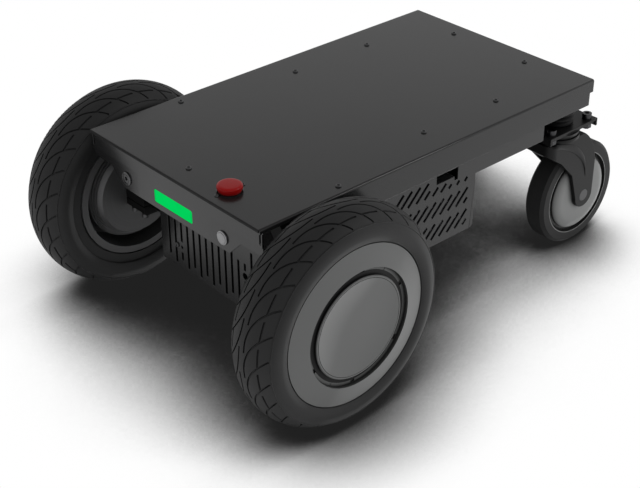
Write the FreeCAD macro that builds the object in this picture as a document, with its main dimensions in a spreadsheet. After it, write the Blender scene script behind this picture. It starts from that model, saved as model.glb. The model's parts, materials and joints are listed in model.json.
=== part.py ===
import FreeCAD, Part
import math
import os

import Sketcher

# Mobile robot platform: two hub-motor drive wheels in front, two swivel casters behind, a sheet-metal deck.
# Millimetres. X points forward, Y to the platform's left, Z up. The origin is on the floor under the middle
# of the platform. Each sub-part is a document object whose sizes are bound to the sheet "Sizes".

SIZES = {
    # deck and skirt
    "deck_length": 580, "deck_width": 332, "deck_height": 262, "deck_centre_x": 11.5,
    "sheet": 2, "bend_radius": 3, "skirt_depth": 36, "arch_top_drop": 6,
    "rear_flange_depth": 18, "skirt_rear_inset": 6.5,
    # drive wheels: tyre
    "tyre_diameter": 282, "tyre_width": 76, "wheel_gap": 6, "axle_setback": 73.5, "arch_radius": 125,
    "crown_inset": 5, "crown_drop": 14, "shoulder_radius": 19.4, "section_height": 57,
    "lip_inset": 3, "lip_rise": 20.6, "ledge_inset": 5.5, "ledge_drop": 1.2,
    "bead_inset": 8, "bead_width": 6, "flange_rise": 8, "bead_gap": 0.2,
    "casing_side_inset": 9, "casing_side_rise": 24, "casing_crown": 20, "casing_crown_wall": 12,
    # drive wheels: tread grooves, drawn flat with the middle of a groove on top of the tyre
    "groove_count": 26, "tread_groove": 2.2, "tread_depth": 2, "tread_lead": 8, "tread_lead_x": 28,
    "tread_start": 4, "tread_bend": 67.2, "tread_turn": 54, "tread_reach": 21,
    "side_groove": 21.4, "side_groove_x": 17.2, "side_groove_length": 24, "ridge_radius": 0.9,
    # drive wheels: rim and motor
    "rim_flange": 3, "rim_wall": 3.5, "rim_inboard_rise": 5.5,
    "shell_gap": 10.5, "shell_thick": 12, "shell_inboard": 17,
    "shell_wall_inner": 18, "shell_wall_outer": 26,
    "hub_boss_radius": 32, "hub_boss_end": 10,
    "bearing_outer": 23.5, "bearing_width": 14, "bearing_far": 26, "running_gap": 0.05,
    "axle_radius": 10, "axle_inboard_reach": 18, "axle_outer_end": 30,
    "air_gap": 4, "stator_inner_end": 10, "stator_outer_end": 9, "stator_slot": 7, "stator_slots": 12,
    "cover_rim": 2, "cover_steps": 3, "step_width": 2.33, "step_depth": 2.8,
    "cover_bevel": 4.3, "cover_dome": 6.2, "cover_eye_gap": 2.5, "cover_spigot": 4, "spigot_gap": 0.2,
    # drive wheels: grey trim
    "trim_gap": 0.2, "trim_inset": 0.4, "trim_overlap": 8, "trim_edge": 1.1, "trim_crest": 7.1,
    "groove_floor": 2.1, "groove_width": 9.9, "groove_draft": 0.5,
    "notch_count": 6, "notch_angle": 35.5, "notch_width": 6.5, "notch_depth": 1.5, "notch_margin": 1.2,
    "joint_count": 2, "joint_angle": 124, "joint_width": 0.8, "joint_depth": 1,
    "disc_gap": 0.6, "disc_edge": 6.1, "disc_bevel": 1, "disc_rise": 1.2, "disc_skin": 3,
    "disc_line": 0.6, "disc_border": 2.6, "disc_spigot_outer": 46, "disc_spigot_inner": 40,
    # side panels: places along X count back from the axle, heights count down from the skirt's edge
    "notch_inset": 97.5, "strip_depth": 22, "pod_back": 278.5, "pod_depth": 99.6, "pod_corner": 6,
    "pod_gap": 3, "slot_width": 4, "slot_pitch": 14.33, "slot_height": 20.5,
    "slot_back": 129.6, "slot_row_one": 26, "slot_row_two": 57.7, "slot_row_three": 89.2,
    "slot_tall": 4, "slot_mid": 3, "slot_short": 3, "slot_full": 8,
    "slot_mid_height": 9, "slot_short_height": 4.5, "slot_border_height": 6,
    "window_back": 207.2, "window_length": 38.1, "window_low": 12.5, "window_top": 1,
    "relief_width": 6, "relief_depth": 5.5, "tab_depth": 12,
    "drains": 5, "drain_length": 16, "drain_width": 4, "drain_inset": 18, "drain_pitch": 28,
    "drain_rear_gap": 16.5,
    # front panel: heights count down from the deck
    "panel_setback": 2.9, "panel_thick": 2.5, "panel_gap": 1.2, "wing_depth": 37, "panel_depth": 58.5,
    "panel_corner_inset": 39, "end_slot_inset": 2.3, "end_slot_width": 2.7, "end_slot_depth": 21.4,
    "panel_flange_depth": 14, "panel_tab_depth": 40, "panel_tab_half": 30,
    "light_half": 37.2, "light_depth": 50.2, "light_height": 17.4, "light_corner": 2.5, "light_gap": 0.2,
    "light_lip": 3, "light_lip_thick": 3,
    "fitting_inset": 71.5, "fitting_depth_below": 42.5, "fitting_hole": 8.2,
    "fold_start": 70, "fold_depth": 1.2, "fold_drop": 25,
    # lower battery box: heights of the grille count up from the box floor
    "box_front_setback": 52.5, "box_edge": 65, "ground_clearance": 83, "box_rear_gap": 4.5,
    "box_flange": 14, "box_front_drop": 6,
    "grille_count": 14, "grille_edge": 18, "grille_slot": 4, "grille_low_short": 13.5, "grille_low_long": 6,
    "grille_top": 89, "grille_top_low": 68, "gland_slot": 12, "gland_rise": 50, "gland_radius": 4.6,
    "grille_bolt_slot": 2, "grille_bolt_rise": 33, "grille_land": 8,
    "battery_length": 236, "battery_side_gap": 7, "battery_height": 96, "battery_rear_gap": 6,
    "battery_chamfer": 5, "battery_rib": 3, "battery_rib_width": 8,
    "battery_rib_pitch": 38, "battery_ribs": 6,
    # frame under the deck
    "rail_edge": 45, "rail_width": 30, "rail_wall": 2, "beam_length": 60, "beam_inset": 3, "beam_end_gap": 6,
    "beam_wall": 2.5, "cross_width": 30, "cross_setback": 95.5,
    # motor mounts and axle clamps
    "mount_edge_gap": 3, "clamp_step": 12, "clamp_half": 22, "clamp_split": 0.5,
    "clamp_drop": 14, "mount_foot_rear": 70, "mount_foot_front": 42, "mount_foot": 6, "mount_waist": 60,
    "mount_web_inset": 8, "mount_web": 7,
    "clamp_bolt_gap": 2, "clamp_bolt_inset": 7.5, "clamp_bolt_pitch": 23,
    "clamp_bolt_radius": 3, "clamp_head_radius": 5, "clamp_head": 6, "clamp_chamfer": 4, "bolt_gap": 0.1,
    "bolt_reach": 16, "clamp_land": 8,
    # drive controllers in the side pods
    "drive_rear_gap": 12, "drive_length": 110, "drive_height": 62, "drive_inner_gap": 4,
    "drive_outer_gap": 8,
    "drive_fin": 3, "drive_fin_pitch": 9, "drive_fins": 12, "drive_fin_depth": 10,
    # casters
    "caster_diameter": 154, "caster_width": 32.8, "caster_edge": 34,
    "caster_inset": 29.5, "caster_trail": 43,
    "buffer_height": 28, "buffer_radius": 23, "buffer_rib": 2.5, "buffer_waist": 20, "buffer_ribs": 4,
    "plate_length": 98, "plate_width": 64, "plate_thick": 3, "lip_depth": 11,
    "hole_x": 74, "hole_y": 45, "caster_bolt_radius": 4, "caster_head_radius": 6.5, "caster_head": 8,
    "hex_socket": 3.4, "hex_depth": 4, "nut_radius": 7.2, "nut_height": 6, "bolt_tail": 1.5,
    "swivel_plate_length": 90, "swivel_plate_width": 60, "swivel_plate": 4, "race_height": 7,
    "race_radius": 31, "race_foot": 33.5, "kingpin_radius": 8, "kingpin_length": 23, "race_gap": 0.3,
    "crown_radius": 33, "crown_boss": 5, "fork_leg": 5, "fork_side_gap": 5.6, "wheel_clearance": 7,
    "boss_radius": 18, "fork_front": 40, "fork_front_depth": 14.7, "fork_shoulder": 32,
    "fork_back_drop": 56.7, "fork_back_radius": 70, "fork_knee_x": 31, "fork_knee_z": 42,
    "fork_throat_x": 57, "fork_throat_z": 69,
    "caster_axle_radius": 5, "cap_radius": 8.5, "cap_thick": 1.5,
    "tread_thick": 15.4, "core_inset": 0.9, "core_lip": 1.1, "core_groove_width": 2, "core_dome": 5,
    "core_flat": 35,
    "core_hub_radius": 15, "core_hub_gap": 0.5, "core_edge": 2.5,
    "caster_bearing_outer": 11, "caster_bearing_width": 7, "tread_chamfer": 4.5, "tread_gap": 0.1,
    # emergency stop
    "stop_x_inset": 32.2, "stop_inset": 20.8, "stop_head_radius": 15.4,
    "stop_travel": 2.3, "stop_travel_gap": 0.1,
    "stop_head": 4.2, "stop_dome": 1.6, "stop_crown_radius": 11.5, "stop_edge_radius": 5.55,
    "stop_stem_radius": 5, "stop_stem": 7, "stop_collar_radius": 16.4,
    "stop_collar": 0.8, "stop_neck": 8, "stop_body_radius": 12, "stop_body_depth": 34,
    "stop_well": 14, "stop_screw_pitch": 39, "stop_screw_head": 2.6, "stop_screw_radius": 1.5,
    # deck screws
    "screw_head_radius": 3.6, "screw_head": 2, "screw_radius": 2, "screw_length": 12, "screw_gap": 0.15,
    "screw_front_back": 57.4, "screw_front_inset": 15.5, "screw_mid_x": 0, "screw_aft_x": -132.8,
    "screw_rear_inset": 26.5, "screw_rear_y": 66, "screw_nose_inset": 29, "screw_dome": 0.7,
    # front fittings
    "bezel_radius": 9, "bezel": 1.8, "button_radius": 7, "button_proud": 0.6, "button_length": 8,
    "button_gap": 0.08, "fitting_gap": 0.2, "fitting_depth": 22, "fitting_nut": 11, "fitting_nut_thick": 4,
    "button_well": 11, "port_recess": 1, "port_face": 7.2,
}

doc = FreeCAD.newDocument("mobile_platform")
sheet = doc.addObject("Spreadsheet::Sheet", "Sizes")
for row, (alias, number) in enumerate(SIZES.items(), start=1):
    sheet.set(f"A{row}", alias)
    sheet.set(f"B{row}", str(number))
    sheet.setAlias(f"B{row}", alias)
doc.recompute()


class Size:
    """A length that carries both its number and the sheet expression that gives it."""

    def __init__(self, value, text):
        self.value = value
        self.text = text

    def __add__(self, other):
        other = as_size(other)
        return Size(self.value + other.value, f"({self.text} + {other.text})")

    def __sub__(self, other):
        other = as_size(other)
        return Size(self.value - other.value, f"({self.text} - {other.text})")

    def __mul__(self, other):
        other = as_size(other)
        return Size(self.value * other.value, f"({self.text} * {other.text})")

    def __truediv__(self, other):
        other = as_size(other)
        return Size(self.value / other.value, f"({self.text} / {other.text})")

    def __neg__(self):
        return Size(-self.value, f"(0 - {self.text})")

    def __radd__(self, other):
        return as_size(other) + self

    def __rsub__(self, other):
        return as_size(other) - self

    def __rmul__(self, other):
        return as_size(other) * self

    def root(self):
        return Size(math.sqrt(self.value), f"sqrt({self.text})")

    def sine(self):
        return Size(math.sin(math.radians(self.value)), f"sin({self.text} * 1 deg)")

    def cosine(self):
        return Size(math.cos(math.radians(self.value)), f"cos({self.text} * 1 deg)")


def as_size(thing):
    if isinstance(thing, Size):
        return thing
    return Size(float(thing), f"({float(thing)})")


class Sheet:
    """Gives every cell of the sheet as a Size, by its alias."""

    def __getattr__(self, alias):
        return Size(float(sheet.get(alias)), f"Sizes.{alias}")


D = Sheet()

# Places that several pieces share.
DECK_FRONT = D.deck_centre_x + D.deck_length / 2
DECK_REAR = D.deck_centre_x - D.deck_length / 2
DECK_HALF = D.deck_width / 2
DECK_UNDER = D.deck_height - D.sheet
SKIRT_EDGE = D.deck_height - D.skirt_depth
AXLE_X = DECK_FRONT - D.axle_setback
AXLE_Z = D.tyre_diameter / 2
WHEEL_Y = DECK_HALF + D.wheel_gap + D.tyre_width / 2
SWIVEL_X = DECK_REAR + D.caster_inset
CASTER_X = SWIVEL_X - D.caster_trail
CASTER_Y = DECK_HALF - D.caster_edge
CASTER_Z = D.caster_diameter / 2
PLATE_TOP = SKIRT_EDGE - D.buffer_height
PLATE_LOW = PLATE_TOP - D.plate_thick
RACE_LOW = PLATE_LOW - D.swivel_plate - D.race_height
CROWN_TOP = RACE_LOW - D.race_gap
POD_REAR = AXLE_X - D.pod_back
POD_LOW = SKIRT_EDGE - D.pod_depth
BOX_HALF = DECK_HALF - D.box_edge
POD_INNER = BOX_HALF + D.pod_gap
STRIP_LOW = SKIRT_EDGE - D.strip_depth
NOTCH_X = DECK_REAR + D.notch_inset
PANEL_FACE = DECK_FRONT - D.panel_setback
PANEL_BACK = PANEL_FACE - D.panel_thick
PANEL_TOP = DECK_UNDER - D.panel_gap
FITTING_Y = DECK_HALF - D.fitting_inset
FITTING_Z = D.deck_height - D.fitting_depth_below
FITTING_RADIUS = D.fitting_hole - D.fitting_gap
END_SLOT_OUTER = DECK_HALF - D.end_slot_inset
END_SLOT_INNER = END_SLOT_OUTER - D.end_slot_width
BOX_FRONT = DECK_FRONT - D.box_front_setback
BOX_REAR = POD_REAR + D.box_rear_gap
BOX_TOP = DECK_UNDER - D.rail_width
STOP_X = DECK_FRONT - D.stop_x_inset
STOP_Y = FITTING_Y - D.stop_inset
CROSS_FRONT = DECK_FRONT - D.cross_setback
CLAMP_LOW = AXLE_Z - D.clamp_drop
RAIL_Y = DECK_HALF - D.rail_edge
MOUNT_INNER = RAIL_Y + D.rail_width / 2
MOUNT_OUTER = DECK_HALF - D.mount_edge_gap
CLAMP_OUTER = MOUNT_OUTER + D.clamp_step
CLEAR = D.sheet / 2
SIDES = {"left": 1, "right": -1}
HALF_DIAGONAL = math.sqrt(0.5) / 2
FULL_TURN = 360

nodes = []


def new_body(name, x=0, y=0, z=0, turned=False, node=True):
    """A body at a place that the sheet gives; turned sets it back to front for the right-hand side."""
    body = doc.addObject("PartDesign::Body", name)
    body.Label = name
    if turned:
        body.Placement.Rotation = FreeCAD.Rotation(FreeCAD.Vector(0, 0, 1), FULL_TURN / 2)
    for axis, place in zip("xyz", (x, y, z)):
        body.setExpression(f"Placement.Base.{axis}", as_size(place).text)
    if node:
        nodes.append(body)
    return body


def tie(sketch, geometry, end, x, y):
    """Fixes one point of a sketch by its distances from the sketch's origin."""
    for kind, axis, distance in (("DistanceX", -2, x), ("DistanceY", -1, y)):
        distance = as_size(distance)
        if distance.value == 0:
            sketch.addConstraint(Sketcher.Constraint("PointOnObject", geometry, end, axis))
            continue
        number = sketch.addConstraint(Sketcher.Constraint(kind, -1, 1, geometry, end, distance.value))
        sketch.setExpression(f"Constraints[{number}]", distance.text)


def arc_between(start, end, radius, turn):
    """The shorter arc from start to end that bends to the left or the right of the way it runs."""
    chord = end - start
    rise = math.sqrt(max(radius ** 2 - (chord.Length / 2) ** 2, 0))
    left = FreeCAD.Vector(-chord.y, chord.x, 0).normalize()
    sign = 1 if turn == "left" else -1
    centre = (start + end) / 2 + left * rise * sign
    first, last = (start, end) if turn == "left" else (end, start)
    angles = [math.atan2(point.y - centre.y, point.x - centre.x) for point in (first, last)]
    return Part.ArcOfCircle(Part.Circle(centre, FreeCAD.Vector(0, 0, 1), radius), *angles)


def loop(points, arcs=None):
    """A closed outline; arcs gives radius and turn for the sides that are round, by the side's number."""
    arcs = arcs or {}

    def draw(sketch):
        spots = [FreeCAD.Vector(as_size(x).value, as_size(y).value, 0) for x, y in points]
        sides = []
        for number, start in enumerate(spots):
            end = spots[(number + 1) % len(spots)]
            if number in arcs:
                radius, turn = arcs[number]
                index = sketch.addGeometry(arc_between(start, end, radius.value, turn))
                fixed = sketch.addConstraint(Sketcher.Constraint("Radius", index, radius.value))
                sketch.setExpression(f"Constraints[{fixed}]", radius.text)
                sides.append((index, 1, 2) if turn == "left" else (index, 2, 1))
            else:
                sides.append((sketch.addGeometry(Part.LineSegment(start, end)), 1, 2))
        for number, (index, first, last) in enumerate(sides):
            following = sides[(number + 1) % len(sides)]
            sketch.addConstraint(Sketcher.Constraint("Coincident", index, last, following[0], following[1]))
            tie(sketch, index, first, *points[number])

    return draw


def rectangle(x0, y0, x1, y1):
    return loop([(x0, y0), (x1, y0), (x1, y1), (x0, y1)])


def rounded(x0, y0, x1, y1, radius):
    """A rectangle whose corners are quarter circles."""
    points = [(x0 + radius, y0), (x1 - radius, y0), (x1, y0 + radius), (x1, y1 - radius),
              (x1 - radius, y1), (x0 + radius, y1), (x0, y1 - radius), (x0, y0 + radius)]
    return loop(points, {side: (radius, "left") for side in (1, 3, 5, 7)})


def circle(x, y, radius):
    def draw(sketch):
        centre = FreeCAD.Vector(as_size(x).value, as_size(y).value, 0)
        index = sketch.addGeometry(Part.Circle(centre, FreeCAD.Vector(0, 0, 1), radius.value))
        fixed = sketch.addConstraint(Sketcher.Constraint("Radius", index, radius.value))
        sketch.setExpression(f"Constraints[{fixed}]", radius.text)
        tie(sketch, index, 3, x, y)

    return draw


def plane_of(body, role):
    return next(feature for feature in body.Origin.OriginFeatures if feature.Role == role)


def new_sketch(body, name, role, outlines, offset=0):
    sketch = body.newObject("Sketcher::SketchObject", name)
    sketch.AttachmentSupport = [(plane_of(body, role), "")]
    sketch.MapMode = "FlatFace"
    sketch.setExpression("AttachmentOffset.Base.z", as_size(offset).text)
    for draw in outlines:
        draw(sketch)
    return sketch


def extrude(body, name, role, outlines, low, high, cut=False):
    """Adds or cuts the outlines between two places along the plane's own global axis."""
    low = as_size(low)
    backward = role == "XZ_Plane"
    sketch = new_sketch(body, f"{body.Name}_{name}_sketch", role, outlines, -low if backward else low)
    kind = "PartDesign::Pocket" if cut else "PartDesign::Pad"
    feature = body.newObject(kind, f"{body.Name}_{name}")
    feature.Profile = sketch
    feature.setExpression("Length", (as_size(high) - low).text)
    feature.Reversed = backward != cut
    return feature


def revolve(body, name, outlines, axis="H_Axis", role="YZ_Plane", cut=False):
    """Turns an outline round the sketch's own axis: along Y for wheels, along Z for upright pieces."""
    sketch = new_sketch(body, f"{body.Name}_{name}_sketch", role, outlines)
    kind = "PartDesign::Groove" if cut else "PartDesign::Revolution"
    feature = body.newObject(kind, f"{body.Name}_{name}")
    feature.Profile = sketch
    feature.ReferenceAxis = (sketch, [axis])
    feature.Angle = FULL_TURN
    return feature


def repeat_along(body, feature, axis, pitch, count, backward=False):
    """Repeats a feature in a row along one of the body's axes."""
    pattern = body.newObject("PartDesign::LinearPattern", f"{feature.Name}_row")
    pattern.Originals = [feature]
    pattern.Direction = (plane_of(body, axis), [""])
    pattern.Mode = "Spacing"
    pattern.setExpression("Offset", pitch.text)
    pattern.setExpression("Occurrences", count.text)
    pattern.Reversed = backward
    body.Tip = pattern
    return pattern


def repeat_round(body, features, axis, count):
    """Repeats features round one of the body's axes."""
    pattern = body.newObject("PartDesign::PolarPattern", f"{features[0].Name}_ring")
    pattern.Originals = features
    pattern.Axis = (plane_of(body, axis), [""])
    pattern.Mode = "Extent"
    pattern.Angle = FULL_TURN
    pattern.setExpression("Occurrences", count.text)
    body.Tip = pattern
    return pattern


def across(side, inner, outer):
    """A span in Y on the given side, lower end first."""
    return (inner, outer) if side > 0 else (-as_size(outer), -as_size(inner))


def front_screw_spot(side):
    return (AXLE_X - D.screw_front_back, (DECK_HALF - D.screw_front_inset) * side)


def rear_screw_spot(side):
    return (DECK_REAR + D.screw_rear_inset, D.screw_rear_y * side)


def screw_spots():
    """Deck screws: a pair over the motor mounts, two over the rails, one at the rear, one at the nose."""
    spots = []
    for side in SIDES.values():
        spots.append(front_screw_spot(side))
        spots.append((D.screw_mid_x, RAIL_Y * side))
        spots.append((D.screw_aft_x, RAIL_Y * side))
        spots.append(rear_screw_spot(side))
    spots.append((DECK_FRONT - D.screw_nose_inset, as_size(0)))
    return spots


def stop_screw_spots():
    return [(STOP_X + D.stop_screw_pitch / 2 * side, STOP_Y) for side in SIDES.values()]


def nose_holes():
    """Holes in the front flange and its seal for the nose screw and the forward screw of the stop button."""
    x, y = stop_screw_spots()[0]
    return [circle(DECK_FRONT - D.screw_nose_inset, 0, D.screw_radius + D.screw_gap),
            circle(x, y, D.stop_screw_radius + D.screw_gap)]


def light_low():
    return D.deck_height - D.light_depth


def arch_x(height):
    """Where the wheel arch's rear edge is at a height above the floor."""
    rise = height - AXLE_Z
    return AXLE_X - (D.arch_radius * D.arch_radius - rise * rise).root()


def make_top_cover():
    """Deck sheet with its two long edges bent down as skirts, a rear flange and arches over the wheels."""
    body = new_body("top_cover")
    top, bend, wall = D.deck_height, D.bend_radius, D.sheet
    inner_bend = bend - wall
    section = loop(
        [(-DECK_HALF, SKIRT_EDGE), (-DECK_HALF, top - bend), (bend - DECK_HALF, top),
         (DECK_HALF - bend, top), (DECK_HALF, top - bend), (DECK_HALF, SKIRT_EDGE),
         (DECK_HALF - wall, SKIRT_EDGE), (DECK_HALF - wall, top - bend), (DECK_HALF - bend, top - wall),
         (bend - DECK_HALF, top - wall), (wall - DECK_HALF, top - bend), (wall - DECK_HALF, SKIRT_EDGE)],
        {1: (bend, "right"), 3: (bend, "right"), 7: (inner_bend, "left"), 9: (inner_bend, "left")})
    extrude(body, "channel", "YZ_Plane", [section], DECK_REAR, DECK_FRONT)
    extrude(body, "rear_flange", "YZ_Plane",
            [rectangle(wall - DECK_HALF, top - D.rear_flange_depth, DECK_HALF - wall, top - wall)],
            DECK_REAR, DECK_REAR + wall)
    arch_top = top - D.arch_top_drop
    arch = loop(
        [(arch_x(SKIRT_EDGE), SKIRT_EDGE), (arch_x(arch_top), arch_top), (DECK_FRONT + CLEAR, arch_top),
         (DECK_FRONT + CLEAR, SKIRT_EDGE - CLEAR), (arch_x(SKIRT_EDGE), SKIRT_EDGE - CLEAR)],
        {0: (D.arch_radius, "right")})
    trim = rectangle(DECK_REAR - CLEAR, SKIRT_EDGE - CLEAR, DECK_REAR + D.skirt_rear_inset,
                     top - D.rear_flange_depth)
    extrude(body, "arches", "XZ_Plane", [arch, trim], -DECK_HALF - CLEAR, DECK_HALF + CLEAR, cut=True)
    holes = [circle(x, y, D.screw_radius + D.screw_gap) for x, y in screw_spots()]
    holes += [circle(x, y, D.stop_screw_radius + D.screw_gap) for x, y in stop_screw_spots()]
    holes.append(circle(STOP_X, STOP_Y, D.stop_neck + D.screw_gap))
    extrude(body, "holes", "XY_Plane", holes, DECK_UNDER - CLEAR, top + CLEAR, cut=True)


def slot_row(body, name, x, z, height, count, span):
    """A row of slots that lean back at 45 degrees, the first one farthest forward."""
    half = D.slot_width * HALF_DIAGONAL
    slot = loop([(x - half, z - half), (x + half, z + half), (x + half - height, z + half + height),
                 (x - half - height, z - half + height)])
    cut = extrude(body, name, "XZ_Plane", [slot], *span, cut=True)
    if count.value > 1:
        repeat_along(body, cut, "X_Axis", D.slot_pitch, count, backward=True)


def make_side_panel(word, side):
    """Side sheet under the skirt: a strip aft, and the slotted wall, floor and rear wall of the side pod."""
    body = new_body(f"side_panel_{word}")
    outer, inner = DECK_HALF, DECK_HALF - D.sheet
    wall = across(side, inner, outer)
    through = across(side, inner - CLEAR, outer + CLEAR)
    corner = D.pod_corner
    outline = loop(
        [(NOTCH_X, SKIRT_EDGE), (NOTCH_X, STRIP_LOW), (POD_REAR, STRIP_LOW),
         (POD_REAR, POD_LOW + corner), (POD_REAR + corner, POD_LOW), (arch_x(POD_LOW), POD_LOW),
         (arch_x(SKIRT_EDGE), SKIRT_EDGE)],
        {3: (corner, "left"), 5: (D.arch_radius, "right")})
    extrude(body, "wall", "XZ_Plane", [outline], *wall)
    flange = across(side, POD_INNER, inner)
    extrude(body, "floor", "XY_Plane",
            [rectangle(POD_REAR + corner, flange[0], arch_x(POD_LOW), flange[1])],
            POD_LOW, POD_LOW + D.sheet)
    extrude(body, "rear_wall", "YZ_Plane", [rectangle(flange[0], POD_LOW + corner, flange[1], STRIP_LOW)],
            POD_REAR, POD_REAR + D.sheet)
    window_front = AXLE_X - D.window_back
    window_rear = window_front - D.window_length
    window_low, window_top = SKIRT_EDGE - D.window_low, SKIRT_EDGE - D.window_top
    relief_front, relief_low = window_rear + D.relief_width, window_low - D.relief_depth
    window = loop(
        [(window_rear, relief_low), (relief_front, relief_low), (relief_front, window_low),
         (window_front, window_low), (window_front, window_top), (window_rear, window_top)])
    extrude(body, "window", "XZ_Plane", [window], *through, cut=True)
    tab = across(side, inner - D.tab_depth, inner)
    extrude(body, "tab", "XY_Plane",
            [rectangle(relief_front, tab[0], window_front, tab[1])], window_low - D.sheet, window_low)
    first, pitch = AXLE_X - D.slot_back, D.slot_pitch
    row_one = SKIRT_EDGE - D.slot_row_one
    slot_row(body, "row_one", first, row_one, D.slot_height, D.slot_tall, through)
    first_mid = first - pitch * D.slot_tall
    slot_row(body, "row_one_low", first_mid, row_one, D.slot_mid_height, D.slot_mid, through)
    first_short = first_mid - pitch * D.slot_mid
    slot_row(body, "row_one_end", first_short, row_one, D.slot_short_height, D.slot_short, through)
    for name, drop in (("row_two", D.slot_row_two), ("row_three", D.slot_row_three)):
        height = SKIRT_EDGE - drop
        slot_row(body, name, first - pitch, height, D.slot_height, D.slot_full, through)
        last = first - pitch * (D.slot_full + 1)
        slot_row(body, f"{name}_end", last, height, D.slot_border_height, as_size(1), through)
    drain_rear = POD_REAR + D.drain_rear_gap
    drain = across(side, inner - D.drain_inset - D.drain_width, inner - D.drain_inset)
    drains = extrude(body, "drain", "XY_Plane",
                     [rectangle(drain_rear, drain[0], drain_rear + D.drain_length, drain[1])],
                     POD_LOW - CLEAR, POD_LOW + D.sheet + CLEAR, cut=True)
    repeat_along(body, drains, "X_Axis", D.drain_pitch, D.drains)


def make_front_panel():
    """Front panel with raised wings, chamfered lower corners, a return flange and holes for its fittings."""
    body = new_body("front_panel")
    low, top, wing = D.deck_height - D.panel_depth, PANEL_TOP, D.deck_height - D.wing_depth
    drop = wing - low
    corner = DECK_HALF - D.panel_corner_inset
    slot_low = D.deck_height - D.end_slot_depth
    wing_top = D.deck_height - D.arch_top_drop
    half = [(corner - drop, low), (corner, wing), (DECK_HALF, wing), (DECK_HALF, wing_top),
            (END_SLOT_OUTER, wing_top), (END_SLOT_OUTER, slot_low), (END_SLOT_INNER, slot_low),
            (END_SLOT_INNER, top)]
    outline = loop(half + [(-y, z) for y, z in reversed(half)])
    light_top = light_low() + D.light_height
    openings = [rounded(-D.light_half, light_low(), D.light_half, light_top, D.light_corner)]
    openings += [circle(FITTING_Y * side, FITTING_Z, D.fitting_hole) for side in SIDES.values()]
    extrude(body, "plate", "YZ_Plane", [outline] + openings, PANEL_BACK, PANEL_FACE)
    flange = loop(
        [(PANEL_BACK, -END_SLOT_INNER), (PANEL_BACK, END_SLOT_INNER),
         (PANEL_BACK - D.panel_flange_depth, END_SLOT_INNER),
         (PANEL_BACK - D.panel_flange_depth, D.panel_tab_half),
         (PANEL_BACK - D.panel_tab_depth, D.panel_tab_half),
         (PANEL_BACK - D.panel_tab_depth, -D.panel_tab_half),
         (PANEL_BACK - D.panel_flange_depth, -D.panel_tab_half),
         (PANEL_BACK - D.panel_flange_depth, -END_SLOT_INNER)])
    flange_low = PANEL_TOP - D.panel_thick
    extrude(body, "flange", "XY_Plane", [flange], flange_low, PANEL_TOP)
    extrude(body, "nose_holes", "XY_Plane", nose_holes(), flange_low - CLEAR, PANEL_TOP + CLEAR, cut=True)
    folds = []
    for side in SIDES.values():
        folds.append(loop([(PANEL_FACE, D.fold_start * side), (PANEL_FACE, (DECK_HALF + CLEAR) * side),
                           (PANEL_FACE - D.fold_depth, (DECK_HALF + CLEAR) * side)]))
    extrude(body, "folds", "XY_Plane", folds, low - CLEAR, D.deck_height - D.fold_drop, cut=True)


def make_deck_seal():
    """Black rubber strip between the deck and the front panel's flange."""
    body = new_body("deck_seal")
    inset = D.panel_gap / 2
    strip = loop(
        [(PANEL_FACE - inset, -END_SLOT_INNER), (PANEL_FACE - inset, END_SLOT_INNER),
         (PANEL_BACK - D.panel_flange_depth, END_SLOT_INNER),
         (PANEL_BACK - D.panel_flange_depth, D.panel_tab_half),
         (PANEL_BACK - D.panel_tab_depth, D.panel_tab_half),
         (PANEL_BACK - D.panel_tab_depth, -D.panel_tab_half),
         (PANEL_BACK - D.panel_flange_depth, -D.panel_tab_half),
         (PANEL_BACK - D.panel_flange_depth, -END_SLOT_INNER)])
    extrude(body, "strip", "XY_Plane", [strip] + nose_holes(), PANEL_TOP, DECK_UNDER)


def make_status_light():
    """Green light bar: a lens flush with the panel and a lip behind it."""
    body = new_body("status_light")
    gap, lip = D.light_gap, D.light_lip
    low = light_low()
    high = low + D.light_height
    lens = rounded(gap - D.light_half, low + gap, D.light_half - gap, high - gap, D.light_corner - gap)
    extrude(body, "lens", "YZ_Plane", [lens], PANEL_BACK, PANEL_FACE)
    extrude(body, "lip", "YZ_Plane",
            [rectangle(-D.light_half - lip, low - lip, D.light_half + lip, high + lip)],
            PANEL_BACK - D.light_lip_thick, PANEL_BACK)


def make_power_button():
    """Round push button: a barrel clamped in the panel by bezel and nut, and the cap that slides in it."""
    place = (PANEL_FACE, FITTING_Y, FITTING_Z)
    back = PANEL_BACK - PANEL_FACE
    barrel = new_body("power_button_barrel", *place)
    extrude(barrel, "bezel", "YZ_Plane", [circle(0, 0, D.bezel_radius)], 0, D.bezel)
    extrude(barrel, "tube", "YZ_Plane", [circle(0, 0, FITTING_RADIUS)], -D.fitting_depth, 0)
    extrude(barrel, "nut", "YZ_Plane", [circle(0, 0, D.fitting_nut)], back - D.fitting_nut_thick, back)
    extrude(barrel, "well", "YZ_Plane", [circle(0, 0, D.button_radius + D.button_gap)],
            D.bezel - D.button_well, D.bezel + CLEAR, cut=True)
    cap = new_body("power_button", *place)
    proud = D.bezel + D.button_proud
    extrude(cap, "plug", "YZ_Plane", [circle(0, 0, D.button_radius)], proud - D.button_length, proud)


def make_charge_port():
    """Round metal charging port with its screwed cap, on the other side of the light."""
    body = new_body("charge_port", PANEL_FACE, -FITTING_Y, FITTING_Z)
    back = PANEL_BACK - PANEL_FACE
    extrude(body, "bezel", "YZ_Plane", [circle(0, 0, D.bezel_radius)], 0, D.bezel)
    extrude(body, "tube", "YZ_Plane", [circle(0, 0, FITTING_RADIUS)], -D.fitting_depth, 0)
    extrude(body, "nut", "YZ_Plane", [circle(0, 0, D.fitting_nut)], back - D.fitting_nut_thick, back)
    extrude(body, "recess", "YZ_Plane", [circle(0, 0, D.port_face)], D.bezel - D.port_recess,
            D.bezel + CLEAR, cut=True)


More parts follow.
